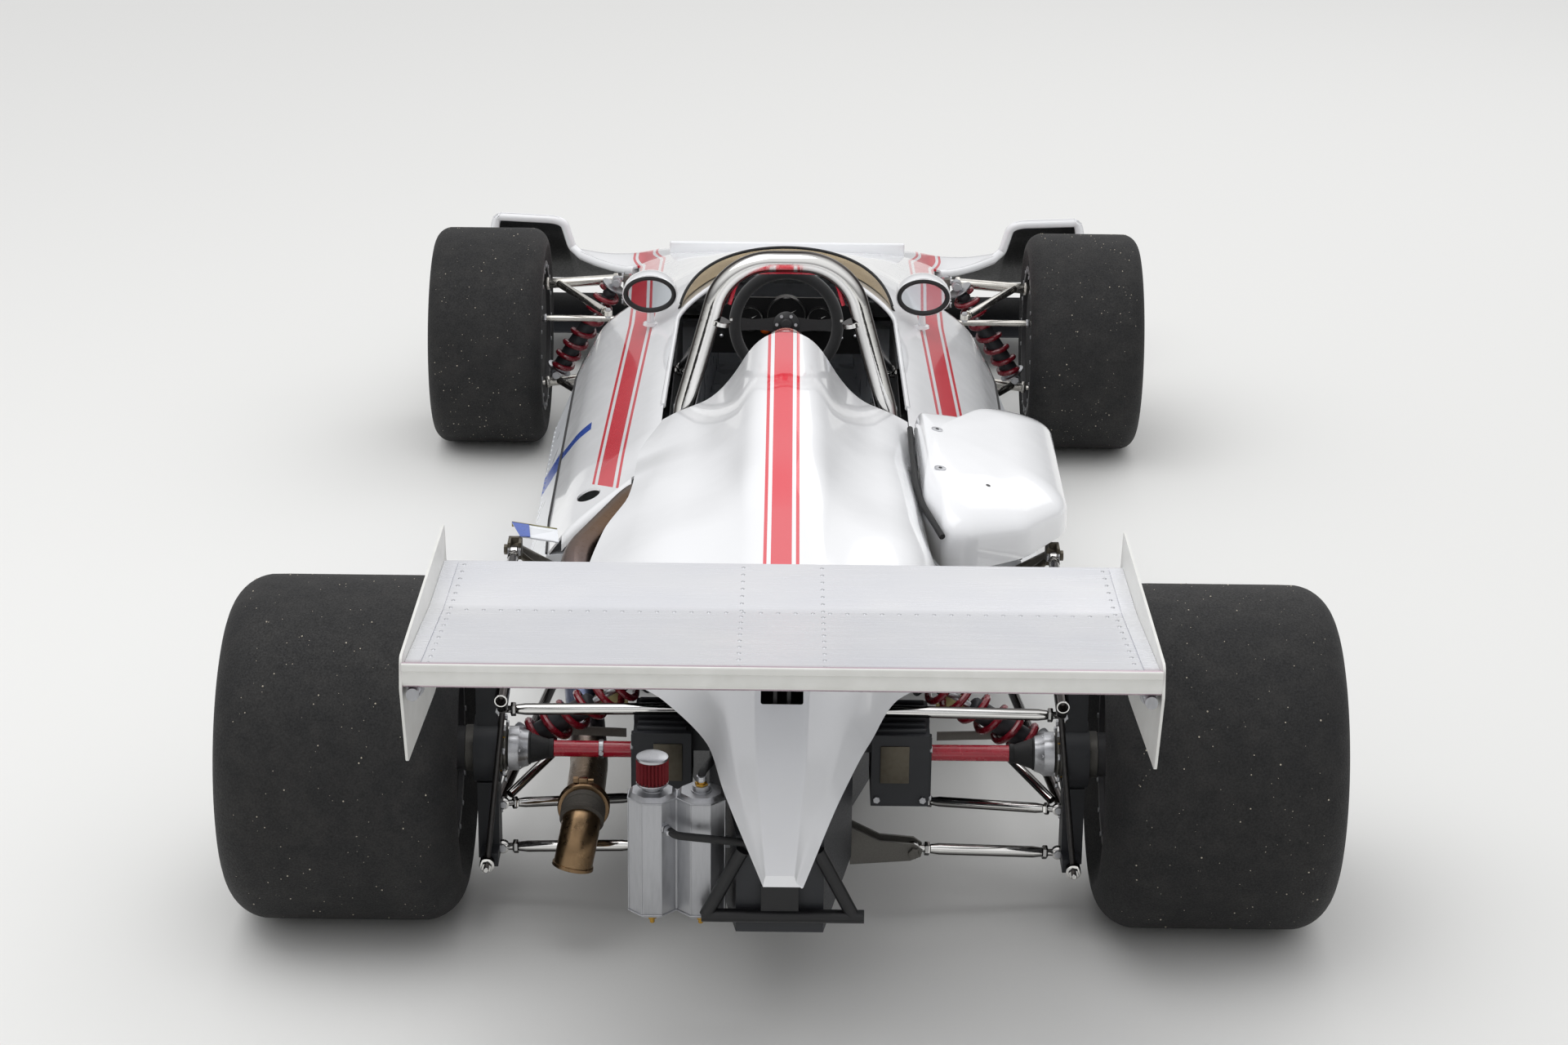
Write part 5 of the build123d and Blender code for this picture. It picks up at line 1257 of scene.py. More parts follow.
def makeDash():
    y = dash["face"]
    board = [platePart([(x, y + 0.6, z) for x, z in dash["outline"]], (0, 1, 0), 1.2)]
    rings, white = [], []
    for dial in dash["dials"]:
        black, ring, marks = makeDial(*dial)
        board += black
        rings.append(ring)
        white += marks
    switches = [turned(dash["switch"], (x, y, z), (0, 1, 0.2), 16) for x, z in dash["switches"]]
    x, z = dash["lampAt"]
    piece("dash_face", board, "dialBlack", "black_rubber")
    piece("dial_marks", white, "dialWhite", "white_paint", crease=60)
    piece("dial_rings", rings, "chrome", "wheel_metal")
    piece("dash_switches", switches, "machined", "wheel_metal")
    piece("warning_lamp", [turned(dash["lamp"], (x, y, z), (0, 1, 0), 24)], "orange", "red_steel")


def makeNumbers():
    # plain numbers round the middle dial, in the built-in font
    x, z, radius, depth = dash["dials"][0]
    parts = []
    for value in dash["numbers"]:
        curve = bpy.data.curves.new("number", "FONT")
        curve.body, curve.size, curve.extrude = str(value), dash["numberSize"], dash["numberDepth"]
        curve.align_x, curve.align_y = "CENTER", "CENTER"
        made = bpy.data.objects.new("number", curve)
        bpy.context.scene.collection.objects.link(made)
        bpy.context.view_layer.update()
        mesh = bpy.data.meshes.new_from_object(made.evaluated_get(bpy.context.evaluated_depsgraph_get()))
        a = dialAngle(value / 10)
        centre = Vector((x + (radius - 17) * cos(a), dash["face"] + depth - 1.2, z + (radius - 17) * sin(a)))
        points = [centre + Vector((-v.co.x, v.co.z, v.co.y)) * 1000 for v in mesh.vertices]
        parts.append((points, [tuple(face.vertices) for face in mesh.polygons]))
        bpy.data.objects.remove(made)
    piece("dial_numbers", parts, "dialWhite", "white_paint", crease=60)


def makeSteeringWheel():
    centre, slope = Vector(steering["centre"]), radians(steering["slope"])
    axis = Vector((0, cos(slope), sin(slope)))
    across, up = Vector((-1, 0, 0)), Vector((0, -sin(slope), cos(slope)))

    def outwards(count):
        return [across * cos(a) + up * sin(a) for a in anglesRound(count)]

    rim = [centre + out * steering["radius"] for out in outwards(steering["rimPoints"])]
    stitchAt = steering["radius"] - steering["grip"] + 0.6
    stitches = [tube([centre + out * stitchAt + axis * end for end in (-3, 3)], 0.7, 5)
                for out in outwards(steering["stitches"])]
    metal = []
    for a in [radians(turn) for turn in steering["spokes"]]:
        out, wide = across * cos(a) + up * sin(a), across * -sin(a) + up * cos(a)
        rows = [[centre + out * r + wide * w + axis * h
                 for w, h in ((half, 2), (half, -2), (-half, -2), (-half, 2))]
                for r, half in steering["spoke"]]
        metal.append(closedLoft(rows))
        metal += [turned(steering["hole"], centre + out * r, axis, 16) for r in steering["holes"]]
    start, end, radius = steering["column"]
    metal += [turned(steering["hub"], centre, axis, 36), turned(steering["cap"], centre, axis, 32),
              tube([centre - axis * start, centre - axis * end], radius, 20)]
    bolts = [hexNut(centre + out * steering["boltRing"] + axis * 8, axis, 7, 3)
             for out in outwards(steering["bolts"])]
    body = "steering_wheel_body"
    grip = tube(rim, steering["grip"] - 0.4, 16, closed=True)
    piece("steering_wheel_rim", [grip], "suede", "wheel_leather", body, ["steering_wheel"])
    piece("steering_wheel_stitches", stitches, "rubber", "wheel_leather", body)
    piece("steering_wheel_spokes", metal, "blackSteel", "black_steel", body)
    piece("steering_wheel_bolts", bolts, "machined", "wheel_metal", body)


makeLiner()
makeDash()
makeNumbers()
makeSteeringWheel()
piece("gear_stick", [turned(lever["stick"], lever["at"], (0, 0, 1), 28)], "dialBlack", "black_rubber",
      stands=["gear_lever"])
print("cockpit made")


# catch tanks: welded eight-sided cans with chamfered lids, necks and brass drains, a bar between them, two
# hoses held at both ends, and their clips; turned profiles are (along, radius)
tanks = {
    "x": (205, 127), "y": rearY + 385, "top": 398, "bottom": 187, "flats": 76,
    # heights and growth of the eight-sided rings, the first three from the bottom and the rest from the top
    "foot": ((0, -9), (4, -1), (6, 0)), "lid": ((-9, 0), (-7, -1), (0, -13)), "weld": 1.5, "corner": 0.9,
    "neck": [(-1, 17), (1.5, 16.5), (2, 14), (10, 14)], "neckHeight": 10,
    "drainNut": (13, 6), "drain": [(6, 4), (13, 4), (14, 3)], "drainBack": 22, "collarNut": (19, 9),
    "collar": [(9, 7.5), (20, 7.5)], "bar": (308, 16, 80), "barGap": 30, "hose": 6.5, "bend": 14,
    "breather": [(127, rearY + 385, 402), (127, rearY + 385, 428), (108, rearY + 285, 410),
                 (60, rearY + 225, 404), (60, rearY + 225, 373)],
    "cross": [(185, rearY + 415, 346), (165, rearY + 449, 348), (24, rearY + 449, 334),
              (24, rearY + 433, 334)],
    "clip": [(-4, 6.6), (-4, 7.6), (4, 7.6), (4, 6.6)], "clipsAt": (16, 17, 14), "union": (16, 12)}
cleaner = {"pleats": 24, "radius": 23, "wave": 3, "rings": ((0.5, -1.5), (2, 0), (42, 0), (43.5, -1.5)),
           "seat": [(-0.5, 25), (1.5, 26), (3.5, 26), (4.5, 24)],
           "cap": [(42, 24), (43, 25.5), (47, 25.5), (49, 22), (49.5, 8), (50, 0.1)]}
upwards, downwards, backwards = (0, 0, 1), (0, 0, -1), (0, 1, 0)


def octagon(x, z, flats):
    corner = flats / 2 / cos(pi / 8)
    return [Vector((x + corner * cos(a), tanks["y"] + corner * sin(a), z)) for a in anglesRound(8, pi / 8)]


def tankParts(x):
    # one can with its weld beads and neck, and its brass drain
    top, bottom, flats, y = tanks["top"], tanks["bottom"], tanks["flats"], tanks["y"]
    levels = [(bottom + z, grow) for z, grow in tanks["foot"]] + [(top + z, grow) for z, grow in tanks["lid"]]
    can = [closedLoft([octagon(x, z, flats + grow) for z, grow in levels])]
    can += [tube(octagon(x, z, flats + 1), tanks["weld"], 6, closed=True) for z in (bottom + 6, top - 8)]
    can.append(turned(tanks["neck"], (x, y, top), upwards, 28))
    can += [tube([corner, corner + Vector((0, 0, top - bottom - 16))], tanks["corner"], 5)
            for corner in octagon(x, bottom + 8, flats + 0.6)]
    foot = (x, y + tanks["drainBack"], bottom)
    return can, [hexNut(foot, downwards, *tanks["drainNut"]), turned(tanks["drain"], foot, downwards, 16)]


def makeTanks():
    cans, brass = [], []
    for x in tanks["x"]:
        can, drain = tankParts(x)
        cans += can
        brass += drain
    (z, width, start), gap, (outer, inner) = tanks["bar"], tanks["barGap"], tanks["x"]
    (front, back), (below, above) = [(middle - width / 2, middle + width / 2) for middle in (tanks["y"], z)]
    for low, high in ((start, inner - gap), (inner + gap, outer - gap)):
        cans.append(boxPart((low, front, below), (high, back, above), 1))
    neck, start = Vector(tanks["breather"][0]), Vector(tanks["cross"][0])
    brass += [hexNut(neck, upwards, *tanks["collarNut"]), turned(tanks["collar"], neck, upwards, 20)]
    way, (first, second, third) = (Vector(tanks["cross"][1]) - start).normalized(), tanks["clipsAt"]
    clips = [hexNut(start - way * 2, way, *tanks["union"])]
    for at, axis in ((start + way * first, way), (neck + Vector((0, 0, second)), upwards),
                     (Vector(tanks["breather"][-1]) + Vector((0, 0, third)), upwards)):
        clips.append(turned(tanks["clip"], at, axis, 24))
        clips.append(boxPart(at + Vector((-4, 5, -4)), at + Vector((4, 11, 4)), 1))
    hoses = [tube(roundedPath(tanks[route], tanks["bend"]), tanks["hose"], 16)
             for route in ("breather", "cross")]
    piece("catch_tank_cans", cans, "tankMetal", "sheet_aluminium", stands=["catch_tanks"])
    piece("catch_tank_brass", brass, "brass", "wheel_metal")
    piece("catch_tank_hoses", hoses, "rubber", "black_rubber")
    piece("hose_clips", clips, "machined", "wheel_metal")


def makeFilter():
    origin, grid = Vector((tanks["x"][0], tanks["y"], tanks["top"] + tanks["neckHeight"] + 1)), []
    for z, grow in cleaner["rings"]:
        ring = []
        for k, a in enumerate(anglesRound(cleaner["pleats"] * 4)):
            radius = cleaner["radius"] + grow + cleaner["wave"] * sin(2 * pi * k / 4)
            ring.append(origin + Vector((radius * cos(a), radius * sin(a), z)))
        grid.append(ring)
    piece("filter_pleats", [closedLoft(grid)], "gauze", "filter_cloth", stands=["breather_filter"])
    caps = [turned(cleaner[part], origin, upwards, 40) for part in ("seat", "cap")]
    piece("filter_caps", caps, "machined", "wheel_metal")


makeTanks()
makeFilter()
print("tanks made")


# suspension rods (start, end, diameter), their outer ends at the uprights and knuckles
uprightInner = uprightX - 22
rods = {
    "links": [((228, rearY + 40, 132), (uprightInner, rearY + 10, 112), 20),
              ((240, rearY - 110, 152), (uprightInner, rearY - 20, 180), 18),
              ((122, rearY + 30, 384), (uprightInner, rearY + 15, 372), 20)],
    "radius": [((uprightX + 6, rearY - 674, 392), (uprightX, rearY - 28, 395), 20),
               ((400, rearY - 897, 150), (uprightX - 8, rearY - 32, 165), 20)],
    "wishbones": [((374, frontY, 396), (592, frontY, 379), 24),
                  ((366, frontY - 40, 150), (592, frontY, 134), 22)],
    "legs": [((406, frontY + 293, 401), (534, frontY + 8, 383), 18),
             ((438, frontY + 210, 158), (540, frontY - 8, 140), 18)],
    "linkEye": (0, 1, 0.1), "radiusEye": (1, 0, 0), "wishboneTaper": 1.4}
# brackets that hold them: plate of the rear links, clevis and arm of the radius rods, wishbone bracket with
# its bolts, and nuts along the tie rod (place, axis, flats, height)
brackets = {
    "plate": [(119, 0, 178), (119, 0, 108), (222, 0, 116), (240, 0, 124), (243, 0, 136), (228, 0, 147),
              (170, 0, 152)],
    "plateAt": (rearY + 24, rearY + 52), "plateWall": 5, "plateNut": (228, rearY + 57, 132),
    "clevis": (uprightX + 6, rearY - 690, 392), "clevisHalf": (13, 17), "clevisReach": (24, 14),
    "clevisWall": (6, 9, 4),
    "arm": ([(460, rearY - 892, 279), (uprightX + 6, rearY - 702, 392)], [13, 8]),
    "brace": ([(395, rearY - 892, 200), (uprightX + 6, rearY - 702, 383.5)], 7),
    "wishbone": ((369, frontY - 18, 334), (384, frontY + 18, 408)), "wishboneBolts": (7, 9),
    "tieRodNuts": [((344, frontY + 95, 326), (1, 0, 0), 16, 9), ((560, frontY + 95, 326), (1, 0, 0), 16, 9),
                   ((588, frontY + 95, 335), (0, 0, 1), 13, 6)]}


def makeRearLinks():
    parts = [part for rod in rods["links"] for part in rodParts(*rod, rods["linkEye"])]
    piece("rear_link_rods", bothSides(parts), ("chrome", "machined"), "wheel_metal", stands=["rear_links"])
    plates = [platePart(brackets["plate"], backwards, brackets["plateWall"], (0, y, 0))
              for y in brackets["plateAt"]]
    plates.append(hexNut(brackets["plateNut"], backwards, 17, 8))
    piece("rear_link_brackets", bothSides(plates), "magnesium", "cast_magnesium")


def makeRadiusRods():
    parts = [part for rod in rods["radius"] for part in rodParts(*rod, rods["radiusEye"])]
    (x, y, z), (wide, rise) = brackets["clevis"], brackets["clevisHalf"]
    front, back = brackets["clevisReach"]
    wall, base, overlap = brackets["clevisWall"]
    arms = [boxPart((x - wide, y - front, z - rise), (x + wide, y - front + base, z + rise), 1.5)]
    arms += [boxPart((low, y - front + overlap, z - rise), (low + wall, y + back, z + rise), 1.5)
             for low in (x - wide, x + wide - wall)]
    arms += [tube(*brackets["arm"], 20), tube(*brackets["brace"], 16)]
    parts += inSlot([*arms, hexNut((x + wide, y + 4, z), (1, 0, 0), 17, 7)], 2)
    piece("radius_rod_arms", bothSides(parts), ("chrome", "machined", "dullPlate"), "wheel_metal",
          stands=["radius_rods"])


def makeWishbones():
    parts = []
    for arm, (start, end, diameter) in zip(rods["wishbones"], rods["legs"]):
        parts += rodParts(*arm, upwards, (True, False), rods["wishboneTaper"])
        run = Vector(end) - Vector(start)
        leg = [(0, diameter * 0.3), (20, diameter * 0.3), (30, diameter / 2), (run.length, diameter / 2)]
        parts += [turned(leg, start, run, 20), *rodEnd(start, run.normalized(), diameter, upwards)]
    (low, high), (inY, inZ) = brackets["wishbone"], brackets["wishboneBolts"]
    parts += inSlot([boxPart(low, high, 2.5)], 2)
    parts += inSlot([hexNut((high[0], y, z), (1, 0, 0), 11, 5) for y in (low[1] + inY, high[1] - inY)
                     for z in (low[2] + inZ, high[2] - inZ)], 1)
    piece("front_wishbone_rods", bothSides(parts), ("nickel", "machined", "magnesium"), "wheel_metal",
          stands=["front_wishbones"])
    nuts = [hexNut(*nut) for nut in brackets["tieRodNuts"]]
    piece("tie_rod_nuts", bothSides(nuts), "machined", "wheel_metal", "rack_body")


makeRearLinks()
makeRadiusRods()
makeWishbones()


# dampers: body and rod radii and where the body ends, then profiles (along, radius) of an eye, of the bump
# stop, counted back from the upper eye, and of one adjuster ring
damper = {"body": 19, "rod": 6, "share": 0.58, "perch": (16, 3), "rings": (7, 24, 4),
          "eye": [(-11, 7), (-10, 12), (10, 12), (11, 7)],
          "stop": [(58, 7), (56, 13), (44, 11), (40, 14), (28, 15), (24, 10)],
          "ring": [(0, 15), (1, 16.4), (2, 15)]}


def damperParts(low, high, diameter):
    a, b = Vector(low), Vector(high)
    way, length, radius = (b - a).normalized(), (b - a).length, diameter / 2
    (start, half), body, end = damper["perch"], damper["body"], length * damper["share"]
    top = length - start
    dark = [turned([(6, 9), (10, body), (end - 4, body), (end, body - 3), (end + 3, 7)], a, way, 32),
            turned([(length - back, r) for back, r in damper["stop"]], a, way, 28)]
    lowerPerch = [(start - half, radius - 6), (start - half, radius), (start, radius), (start + 2, radius - 7),
                  (start + 10, 18), (start + 18, 18), (start + 18, 15)]
    upperPerch = [(top - 8, 14), (top - 2, radius - 8), (top, radius), (top + half, radius), (top + half, 12)]
    bright = [turned([(end, damper["rod"]), (length - 10, damper["rod"])], a, way, 20),
              turned(lowerPerch, a, way, 36), turned(upperPerch, a, way, 36)]
    count, first, pitch = damper["rings"]
    bright += [turned([(start + first + k * pitch + along, r) for along, r in damper["ring"]], a, way, 28)
               for k in range(count)]
    side = Vector(backwards)
    for tip in (a, b):
        bright.append(turned(damper["eye"], tip, side, 28))
        bright += [hexNut(tip + side * 11 * s, side * s, 15, 6) for s in (1, -1)]
    return inSlot(dark, 0) + inSlot(bright, 1)


piece("damper_units", bothSides(damperParts(*springs["rear"][:3]) + damperParts(*springs["front"][:3])),
      ("darkCast", "machined"), "black_steel", stands=["dampers"])
print("suspension made")


# rear castings: calipers with ribs, bolts and a heat-browned plate, the uprights' bolt ring, and the ends of
# the anti-roll bar; profiles are (along, radius)
caliper = {"inner": 152, "outer": 250, "front": rearY - 80, "back": rearY + 70, "bottom": 225, "top": 355,
           "bleeder": [(0, 5), (10, 4), (12, 6), (16, 5)],
           "plate": ((167, rearY + 69, 268), (216, rearY + 72.5, 336), 1)}
upright = {"face": 473, "z": 293.5, "ring": 53, "bolts": (8, 0.3)}
rollBar = {"tube": (469, rearY + 100, 424),
           "end": [(-46, 11.5), (0, 11.5), (0.5, 10.8), (0.5, 9), (-30, 9), (-30, 0.1)],
           "foot": (500, rearY + 76, 110), "eye": [(-8, 9), (-7, 13), (7, 13), (8, 9)],
           "stud": [(14, 5), (24, 5), (25, 4)]}
# sheet brackets behind the uprights: a bar with four washers, a plate with a hole, and a diagonal rod
rearBracket = {"y": rearY - 76, "bar": [(268, 0, 283), (380, 0, 287), (380, 0, 303), (268, 0, 299)],
               "barWall": 2.5, "washers": (4, 286, 293, 25), "washer": [(-0.5, 6), (3.2, 6), (3.2, 4)],
               "plate": [(-327, 0, 331), (-265, 0, 331), (-265, 0, 352), (-278, 0, 368), (-316, 0, 368),
                         (-327, 0, 352)],
               "plateWall": 3, "hole": [(-0.5, 7), (3.5, 7), (3.5, 5)], "holeAt": (-315, 352),
               "rod": ([(392, rearY - 135, 232), (468, rearY - 35, 190)], 8)}


def makeCalipers():
    inner, outer, front, back = [caliper[side] for side in ("inner", "outer", "front", "back")]
    bottom, top = caliper["bottom"], caliper["top"]
    ribs = [boxPart((inner + 8, y - 3, top - 2), (outer - 6, y + 3, top + 7), 2)
            for y in np.linspace(front + 14, back - 14, 6)]
    ribs += [boxPart((outer - 2, y - 3, bottom + 8), (outer + 4, y + 3, top - 6), 2)
             for y in (front + 10, front + 24, back - 24, back - 10)]
    piece("caliper_ribs", bothSides(ribs), "darkCast", "cast_magnesium")
    bolts = [hexNut((x, back, bottom + 12), backwards, 11, 4) for x in (inner + 10, outer - 10)]
    bolts += [hexNut((outer, y, z), (1, 0, 0), 11, 5) for y in (front + 12, back - 12)
              for z in (bottom + 12, top - 30)]
    hub = Vector((upright["face"], rearY, upright["z"]))
    bolts += [hexNut(hub + spokeOut(a) * upright["ring"], (-1, 0, 0), 10, 5)
              for a in anglesRound(*upright["bolts"])]
    bolts.append(turned(caliper["bleeder"], (inner + 30, rearY, top), upwards, 14))
    piece("casting_bolts", bothSides(bolts), "machined", "wheel_metal")
    piece("caliper_plates", bothSides([boxPart(*caliper["plate"])]), "dullPlate", "sheet_aluminium")


def makeRearBrackets():
    y, (count, x, z, pitch) = rearBracket["y"], rearBracket["washers"]
    bars = [platePart(rearBracket["bar"], backwards, rearBracket["barWall"], (0, y, 0))]
    bars += [turned(rearBracket["washer"], (x + k * pitch, y, z + k), backwards, 20) for k in range(count)]
    piece("rear_bracket_bars", bothSides(bars), "magnesium", "plate_steel")
    x, z = rearBracket["holeAt"]
    plate = platePart(rearBracket["plate"], backwards, rearBracket["plateWall"], (0, y, 0))
    hole = turned(rearBracket["hole"], (x, y, z), backwards, 20)
    piece("rear_bracket_plates", bothSides([plate, hole]), "khaki", "plate_steel")
    piece("rear_bracket_rods", bothSides([tube(*rearBracket["rod"], 18)]), "chrome", "wheel_metal")


def makeRollBarEnds():
    tip, foot = Vector(rollBar["tube"]), Vector(rollBar["foot"])
    ends = [turned(rollBar["end"], tip, (0, 1, -0.05), 28), turned(rollBar["eye"], foot, backwards, 24),
            turned(rollBar["stud"], foot, backwards, 12)]
    ends.append(hexNut(tip + Vector((0, -12, -10)), downwards, 14, 12))
    ends.append(hexNut(foot + Vector((0, 8, 0)), backwards, 16, 6))
    piece("roll_bar_ends", bothSides(ends), "chrome", "wheel_metal")


makeCalipers()
makeRearBrackets()
makeRollBarEnds()


# exhaust: clamp ring with its bolt, ribbed sleeve behind it, rolled mouth; profiles are (along, radius)
tailpipe = {"at": (335, rearY + 50, 213), "bend": 60,
            "route": [(335, rearY + 51, 213), (335, rearY + 125, 213), (350, rearY + 138, 138)],
            "ring": [(-2, 34), (-1, 43), (3, 44.5), (7, 42.5), (11, 42.5), (15, 44.5), (18, 43), (19, 34)],
            "lug": ((327, rearY + 52, 255), (343, rearY + 65, 266), 2),
            "nut": ((343, rearY + 58, 261), (1, 0, 0), 11, 9),
            "bolt": ([(318, rearY + 58, 261), (350, rearY + 58, 261)], 3),
            "sleeve": (rearY + 68, rearY + 70, rearY + 108), "rib": (35, 2.8),
            "mouth": [(-6, 33), (-5, 35), (0, 35.5), (1, 34), (0, 31.5), (-8, 31.5)]}


def makeExhaustTrim():
    x, _, z = tailpipe["at"]
    clamp = [turned(tailpipe["ring"], tailpipe["at"], backwards, 56), boxPart(*tailpipe["lug"]),
             hexNut(*tailpipe["nut"]), tube(*tailpipe["bolt"], 10)]
    piece("exhaust_clamp", clamp, "exhaustMetal", "exhaust_steel")
    path, (first, start, end) = roundedPath(tailpipe["route"], tailpipe["bend"], 30), tailpipe["sleeve"]
    bent = [p for p in path if start <= p.y <= end]
    line = [Vector((x, y, z)) for y in np.linspace(first, bent[0].y - 1, 6)] + bent
    radius, rib = tailpipe["rib"]
    sleeve = tube(line, [radius + rib * (k % 2) for k in range(len(line))], 40)
    piece("exhaust_sleeve", [sleeve], "wrap", "exhaust_steel")
    mouth = turned(tailpipe["mouth"], path[-1], path[-1] - path[-2], 56)
    piece("exhaust_mouth_ring", [mouth], "exhaustMetal", "exhaust_steel")


makeExhaustTrim()


# tub: y, then half width and height of its side's foot and top, for the rivets; gussets at its rear corners
tub = {
    "rows": [(frontY - 300, 335, 130, 345, 285), (frontY, 350, 140, 360, 330),
             (frontY + 180, 355, 150, 366, 335), (frontY + 320, 505, 175, 455, 300),
             (frontY + 480, 520, 175, 468, 300), (rearY - 1010, 520, 175, 468, 300),
             (rearY - 905, 500, 175, 462, 298)],
    "rivet": (2.4, 1.1), "pitch": 30, "rivetsAt": (0.1, 0.9),
    "gusset": [(519, rearY - 797, 402), (431, rearY - 762, 402), (425, rearY - 718, 393),
               (496, rearY - 705, 409)],
    "blueEnd": [(520, rearY - 797.5, 404.6), (486, rearY - 784, 404.6), (478, rearY - 708, 409),
                (497, rearY - 704, 411)],
    "flange": [(519, rearY - 799, 396), (431, rearY - 764, 396), (431, rearY - 764, 406),
               (519, rearY - 799, 406)], "flangeWay": (0.36, 0.93, 0)}


def makeTubTrim():
    piece("corner_gussets", bothSides([platePart(tub["gusset"], upwards, 2.5)]), "tubPaint", "white_tub")
    piece("gusset_blue_ends", bothSides([platePart(tub["blueEnd"], upwards, 1)]), "bluePaint", "white_tub")
    flange = platePart(tub["flange"], tub["flangeWay"], 2.5)
    piece("gusset_flanges", bothSides([flange]), "khaki", "sheet_aluminium")
    heads = []
    for first, last in zip(tub["rows"], tub["rows"][1:]):
        steps = max(int((last[0] - first[0]) / tub["pitch"]), 1)
        for t in np.arange(steps) / steps:
            y, low, lowZ, top, topZ = [start + (end - start) * t for start, end in zip(first, last)]
            normal = Vector((topZ - lowZ, 0, low - top)).normalized()
            heads += [((low + (top - low) * share, y, lowZ + (topZ - lowZ) * share), normal)
                      for share in tub["rivetsAt"]]
    piece("tub_rivets", bothSides(domes(heads, *tub["rivet"])), "tubPaint", "white_tub", crease=60)


makeTubTrim()
print("rear trim made")


# wheels: bolts round the rim, a valve stem and two balance weights, with radii from the axle and distances in
# from the rim's face
wheelTrim = {"bolts": (18, 166, -0.2), "stem": (1.1, (157, 30), (146, 6), 3.2),
             "weights": ((2.2, 2.36), 157.5, 18), "weight": [(0, 9), (3, 8), (3.5, 4)]}


def makeWheelTrim(size, hand):
    spec, side, axis = tyres[size], "left" if hand > 0 else "right", Vector((-hand, 0, 0))
    centre = Vector((hand * spec["halfTrack"], spec["y"], spec["radius"]))

    def spot(angle, radius, inwards):
        return centre + spokeOut(angle) * radius + axis * (spec["trim"] - inwards)

    count, radius, inwards = wheelTrim["bolts"]
    parts = [hexNut(spot(a, radius, inwards), axis, 8, 2.5) for a in anglesRound(count)]
    angle, foot, tip, thick = wheelTrim["stem"]
    parts.append(tube([spot(angle, *foot), spot(angle, *tip)], thick, 10))
    angles, radius, inwards = wheelTrim["weights"]
    parts += [turned(wheelTrim["weight"], spot(a, radius, inwards), -spokeOut(a), 12) for a in angles]
    piece(f"{size}_{side}_wheel_trim", parts, "machined", "wheel_metal", f"{size}_{side}_wheel")


for size in ("front", "rear"):
    for hand in (1, -1):
        makeWheelTrim(size, hand)
print("wheel trim made")


# finishes of the frame's own nodes
frameFinishes = {
    "tubPaint": ["monocoque_tub"], "chrome": ["roll_hoop"], "vinyl": ["seat"], "dialBlack": ["dashboard"],
    "mirror": ["mirror_glasses"], "magnesium": ["engine_block", "front_left_knuckle", "front_right_knuckle"],
    "darkCast": ["gearbox", "rear_calipers", "rear_uprights"],
    "exhaustMetal": ["exhaust_manifold", "exhaust_tailpipe"], "blackSteel": ["rear_subframe", "wing_pillar"],
    "platePaint": ["wing_end_plates"], "greySteel": ["rear_anti_roll_bar"], "nickel": ["tie_rods"],
    "rimMetal": ["front_left_rim", "front_right_rim", "rear_left_rim", "rear_right_rim"]}
for finish, nodeNames in frameFinishes.items():
    for nodeName in nodeNames:
        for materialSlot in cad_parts[nodeName].material_slots:
            materialSlot.material = paint[finish]
print("frame nodes finished")


# camera, floor and light, in metres
photoCamera = {"lens": 80.207, "sensor": 36, "place": (0, 6.7206, 2.7608), "pitch": 0.3601, "roll": 0.0113}
studio = {"floorSize": 60, "floor": "#e2e2e0", "zenith": 1.0, "horizon": 0.28, "ground": 0.40,
          "lamps": [("key_light", 5.0, 115, (1.5, 1.5, 5.5), (0, 0, 0.3)),
                    ("back_light", 4.0, 40, (-2.5, -4.5, 4.5), (0, -0.5, 0.3))]}


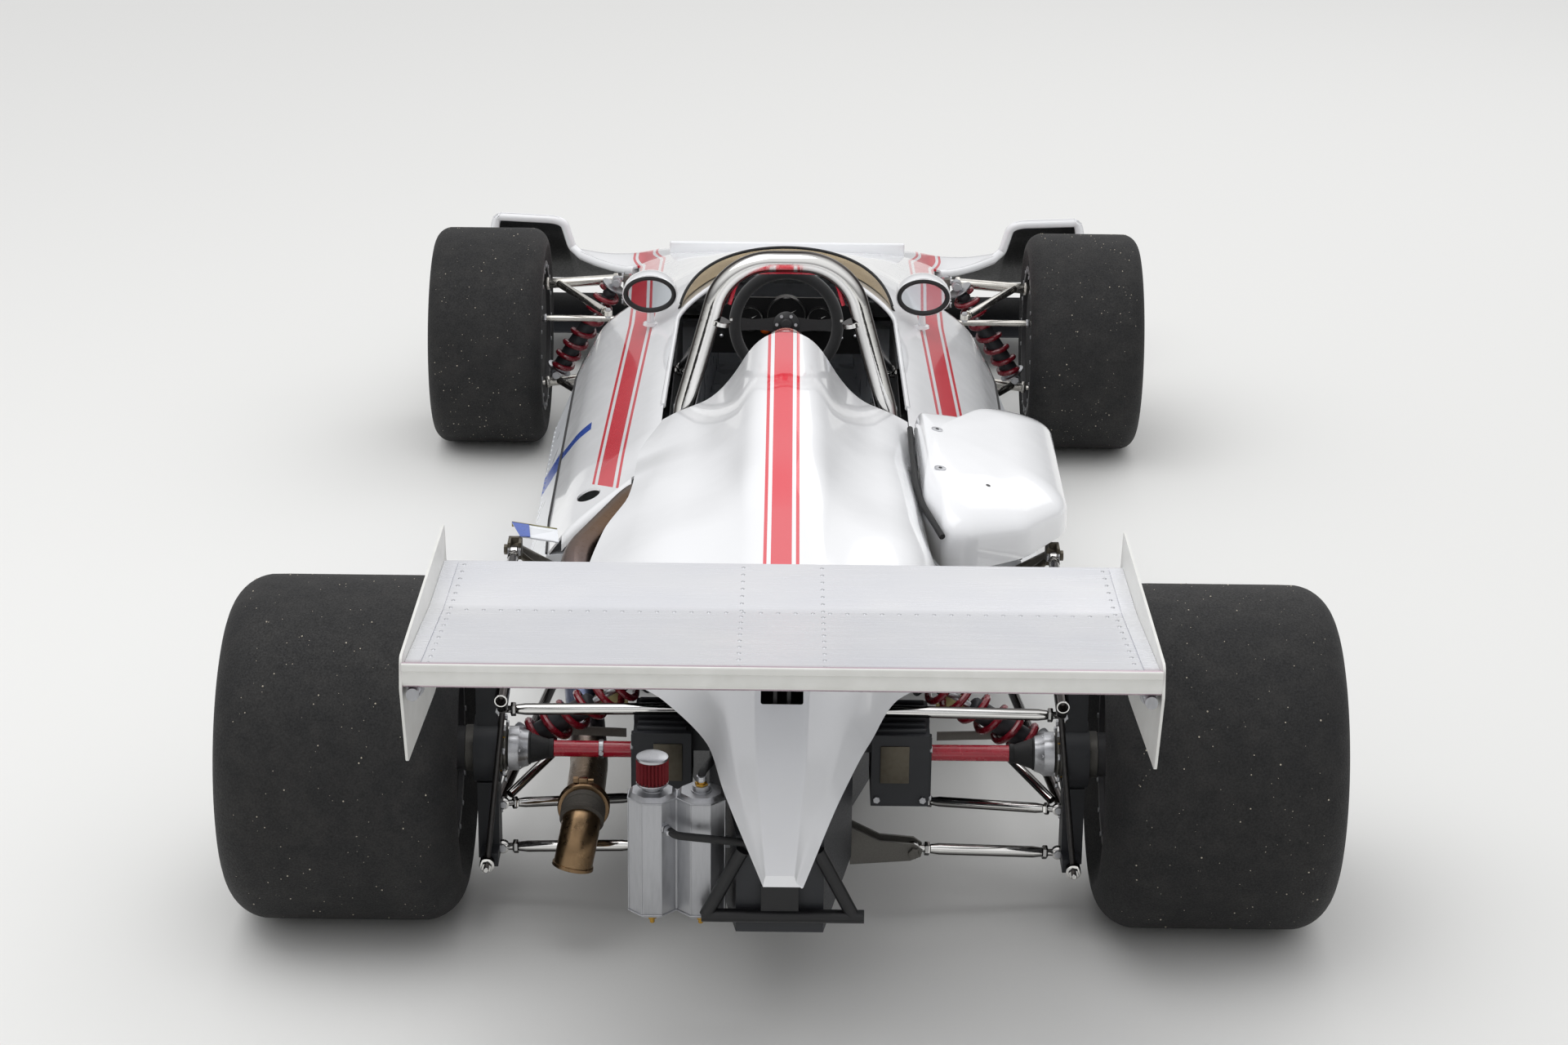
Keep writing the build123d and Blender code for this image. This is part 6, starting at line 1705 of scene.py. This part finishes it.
def makeCamera():
    pitch, roll = photoCamera["pitch"], photoCamera["roll"]
    ahead = Vector((0, -cos(pitch), -sin(pitch)))
    right, up = Vector((-1, 0, 0)), Vector((0, -sin(pitch), cos(pitch)))
    across = right * cos(roll) + up * sin(roll)
    above = up * cos(roll) - right * sin(roll)
    data = bpy.data.cameras.new("photo_camera")
    data.lens, data.sensor_width, data.sensor_fit = photoCamera["lens"], photoCamera["sensor"], "HORIZONTAL"
    data.clip_end = 200
    made = bpy.data.objects.new("photo_camera", data)
    columns = Matrix((across, above, -ahead)).transposed().to_4x4()
    made.matrix_world = Matrix.Translation(photoCamera["place"]) @ columns
    bpy.context.scene.collection.objects.link(made)
    bpy.context.scene.camera = made


def makeLamp(name, size, power, spot, target):
    data = bpy.data.lights.new(name, "AREA")
    data.size, data.energy, data.shape = size, power, "SQUARE"
    made = bpy.data.objects.new(name, data)
    made.location = spot
    made.rotation_euler = (Vector(target) - Vector(spot)).to_track_quat("-Z", "Y").to_euler()
    bpy.context.scene.collection.objects.link(made)


def makeSky():
    # a soft sky that darkens towards the horizon, for the chrome to reflect
    world = bpy.data.worlds.new("studio")
    bpy.context.scene.world = world
    world.use_nodes = True
    tree = world.node_tree
    up = addNode(tree, "SeparateXYZ", {0: addNode(tree, "TexCoord").outputs["Generated"]}).outputs[2]
    ramp = addNode(tree, "ValToRGB", {0: addNode(tree, "MapRange", {0: up, 1: -1.0, 2: 1.0}).outputs[0]})
    ground, horizon, zenith = studio["ground"], studio["horizon"], studio["zenith"]
    levels = ((0.0, ground), (0.49, ground), (0.53, horizon), (0.68, zenith * 0.8), (1.0, zenith))
    rampColours(ramp, [(at, (level, level, level * 1.01, 1)) for at, level in levels])
    tree.links.new(ramp.outputs[0], tree.nodes["Background"].inputs["Color"])


def makeFloor():
    half = studio["floorSize"] / 2
    data = bpy.data.meshes.new("studio_floor")
    corners = [(-half, -half, 0), (half, -half, 0), (half, half, 0), (-half, half, 0)]
    data.from_pydata(corners, [], [(0, 1, 2, 3)])
    floor = bpy.data.objects.new("studio_floor", data)
    bpy.context.scene.collection.objects.link(floor)
    # matt painted studio floor: an even pale grey
    data.materials.append(newMaterial("matt_floor", studio["floor"], 0.9, Specular_IOR_Level=0.1)[0])


makeCamera()
makeSky()
makeFloor()
for lamp in studio["lamps"]:
    makeLamp(*lamp)
bpy.context.scene.view_settings.view_transform = "Standard"
print("stage made")
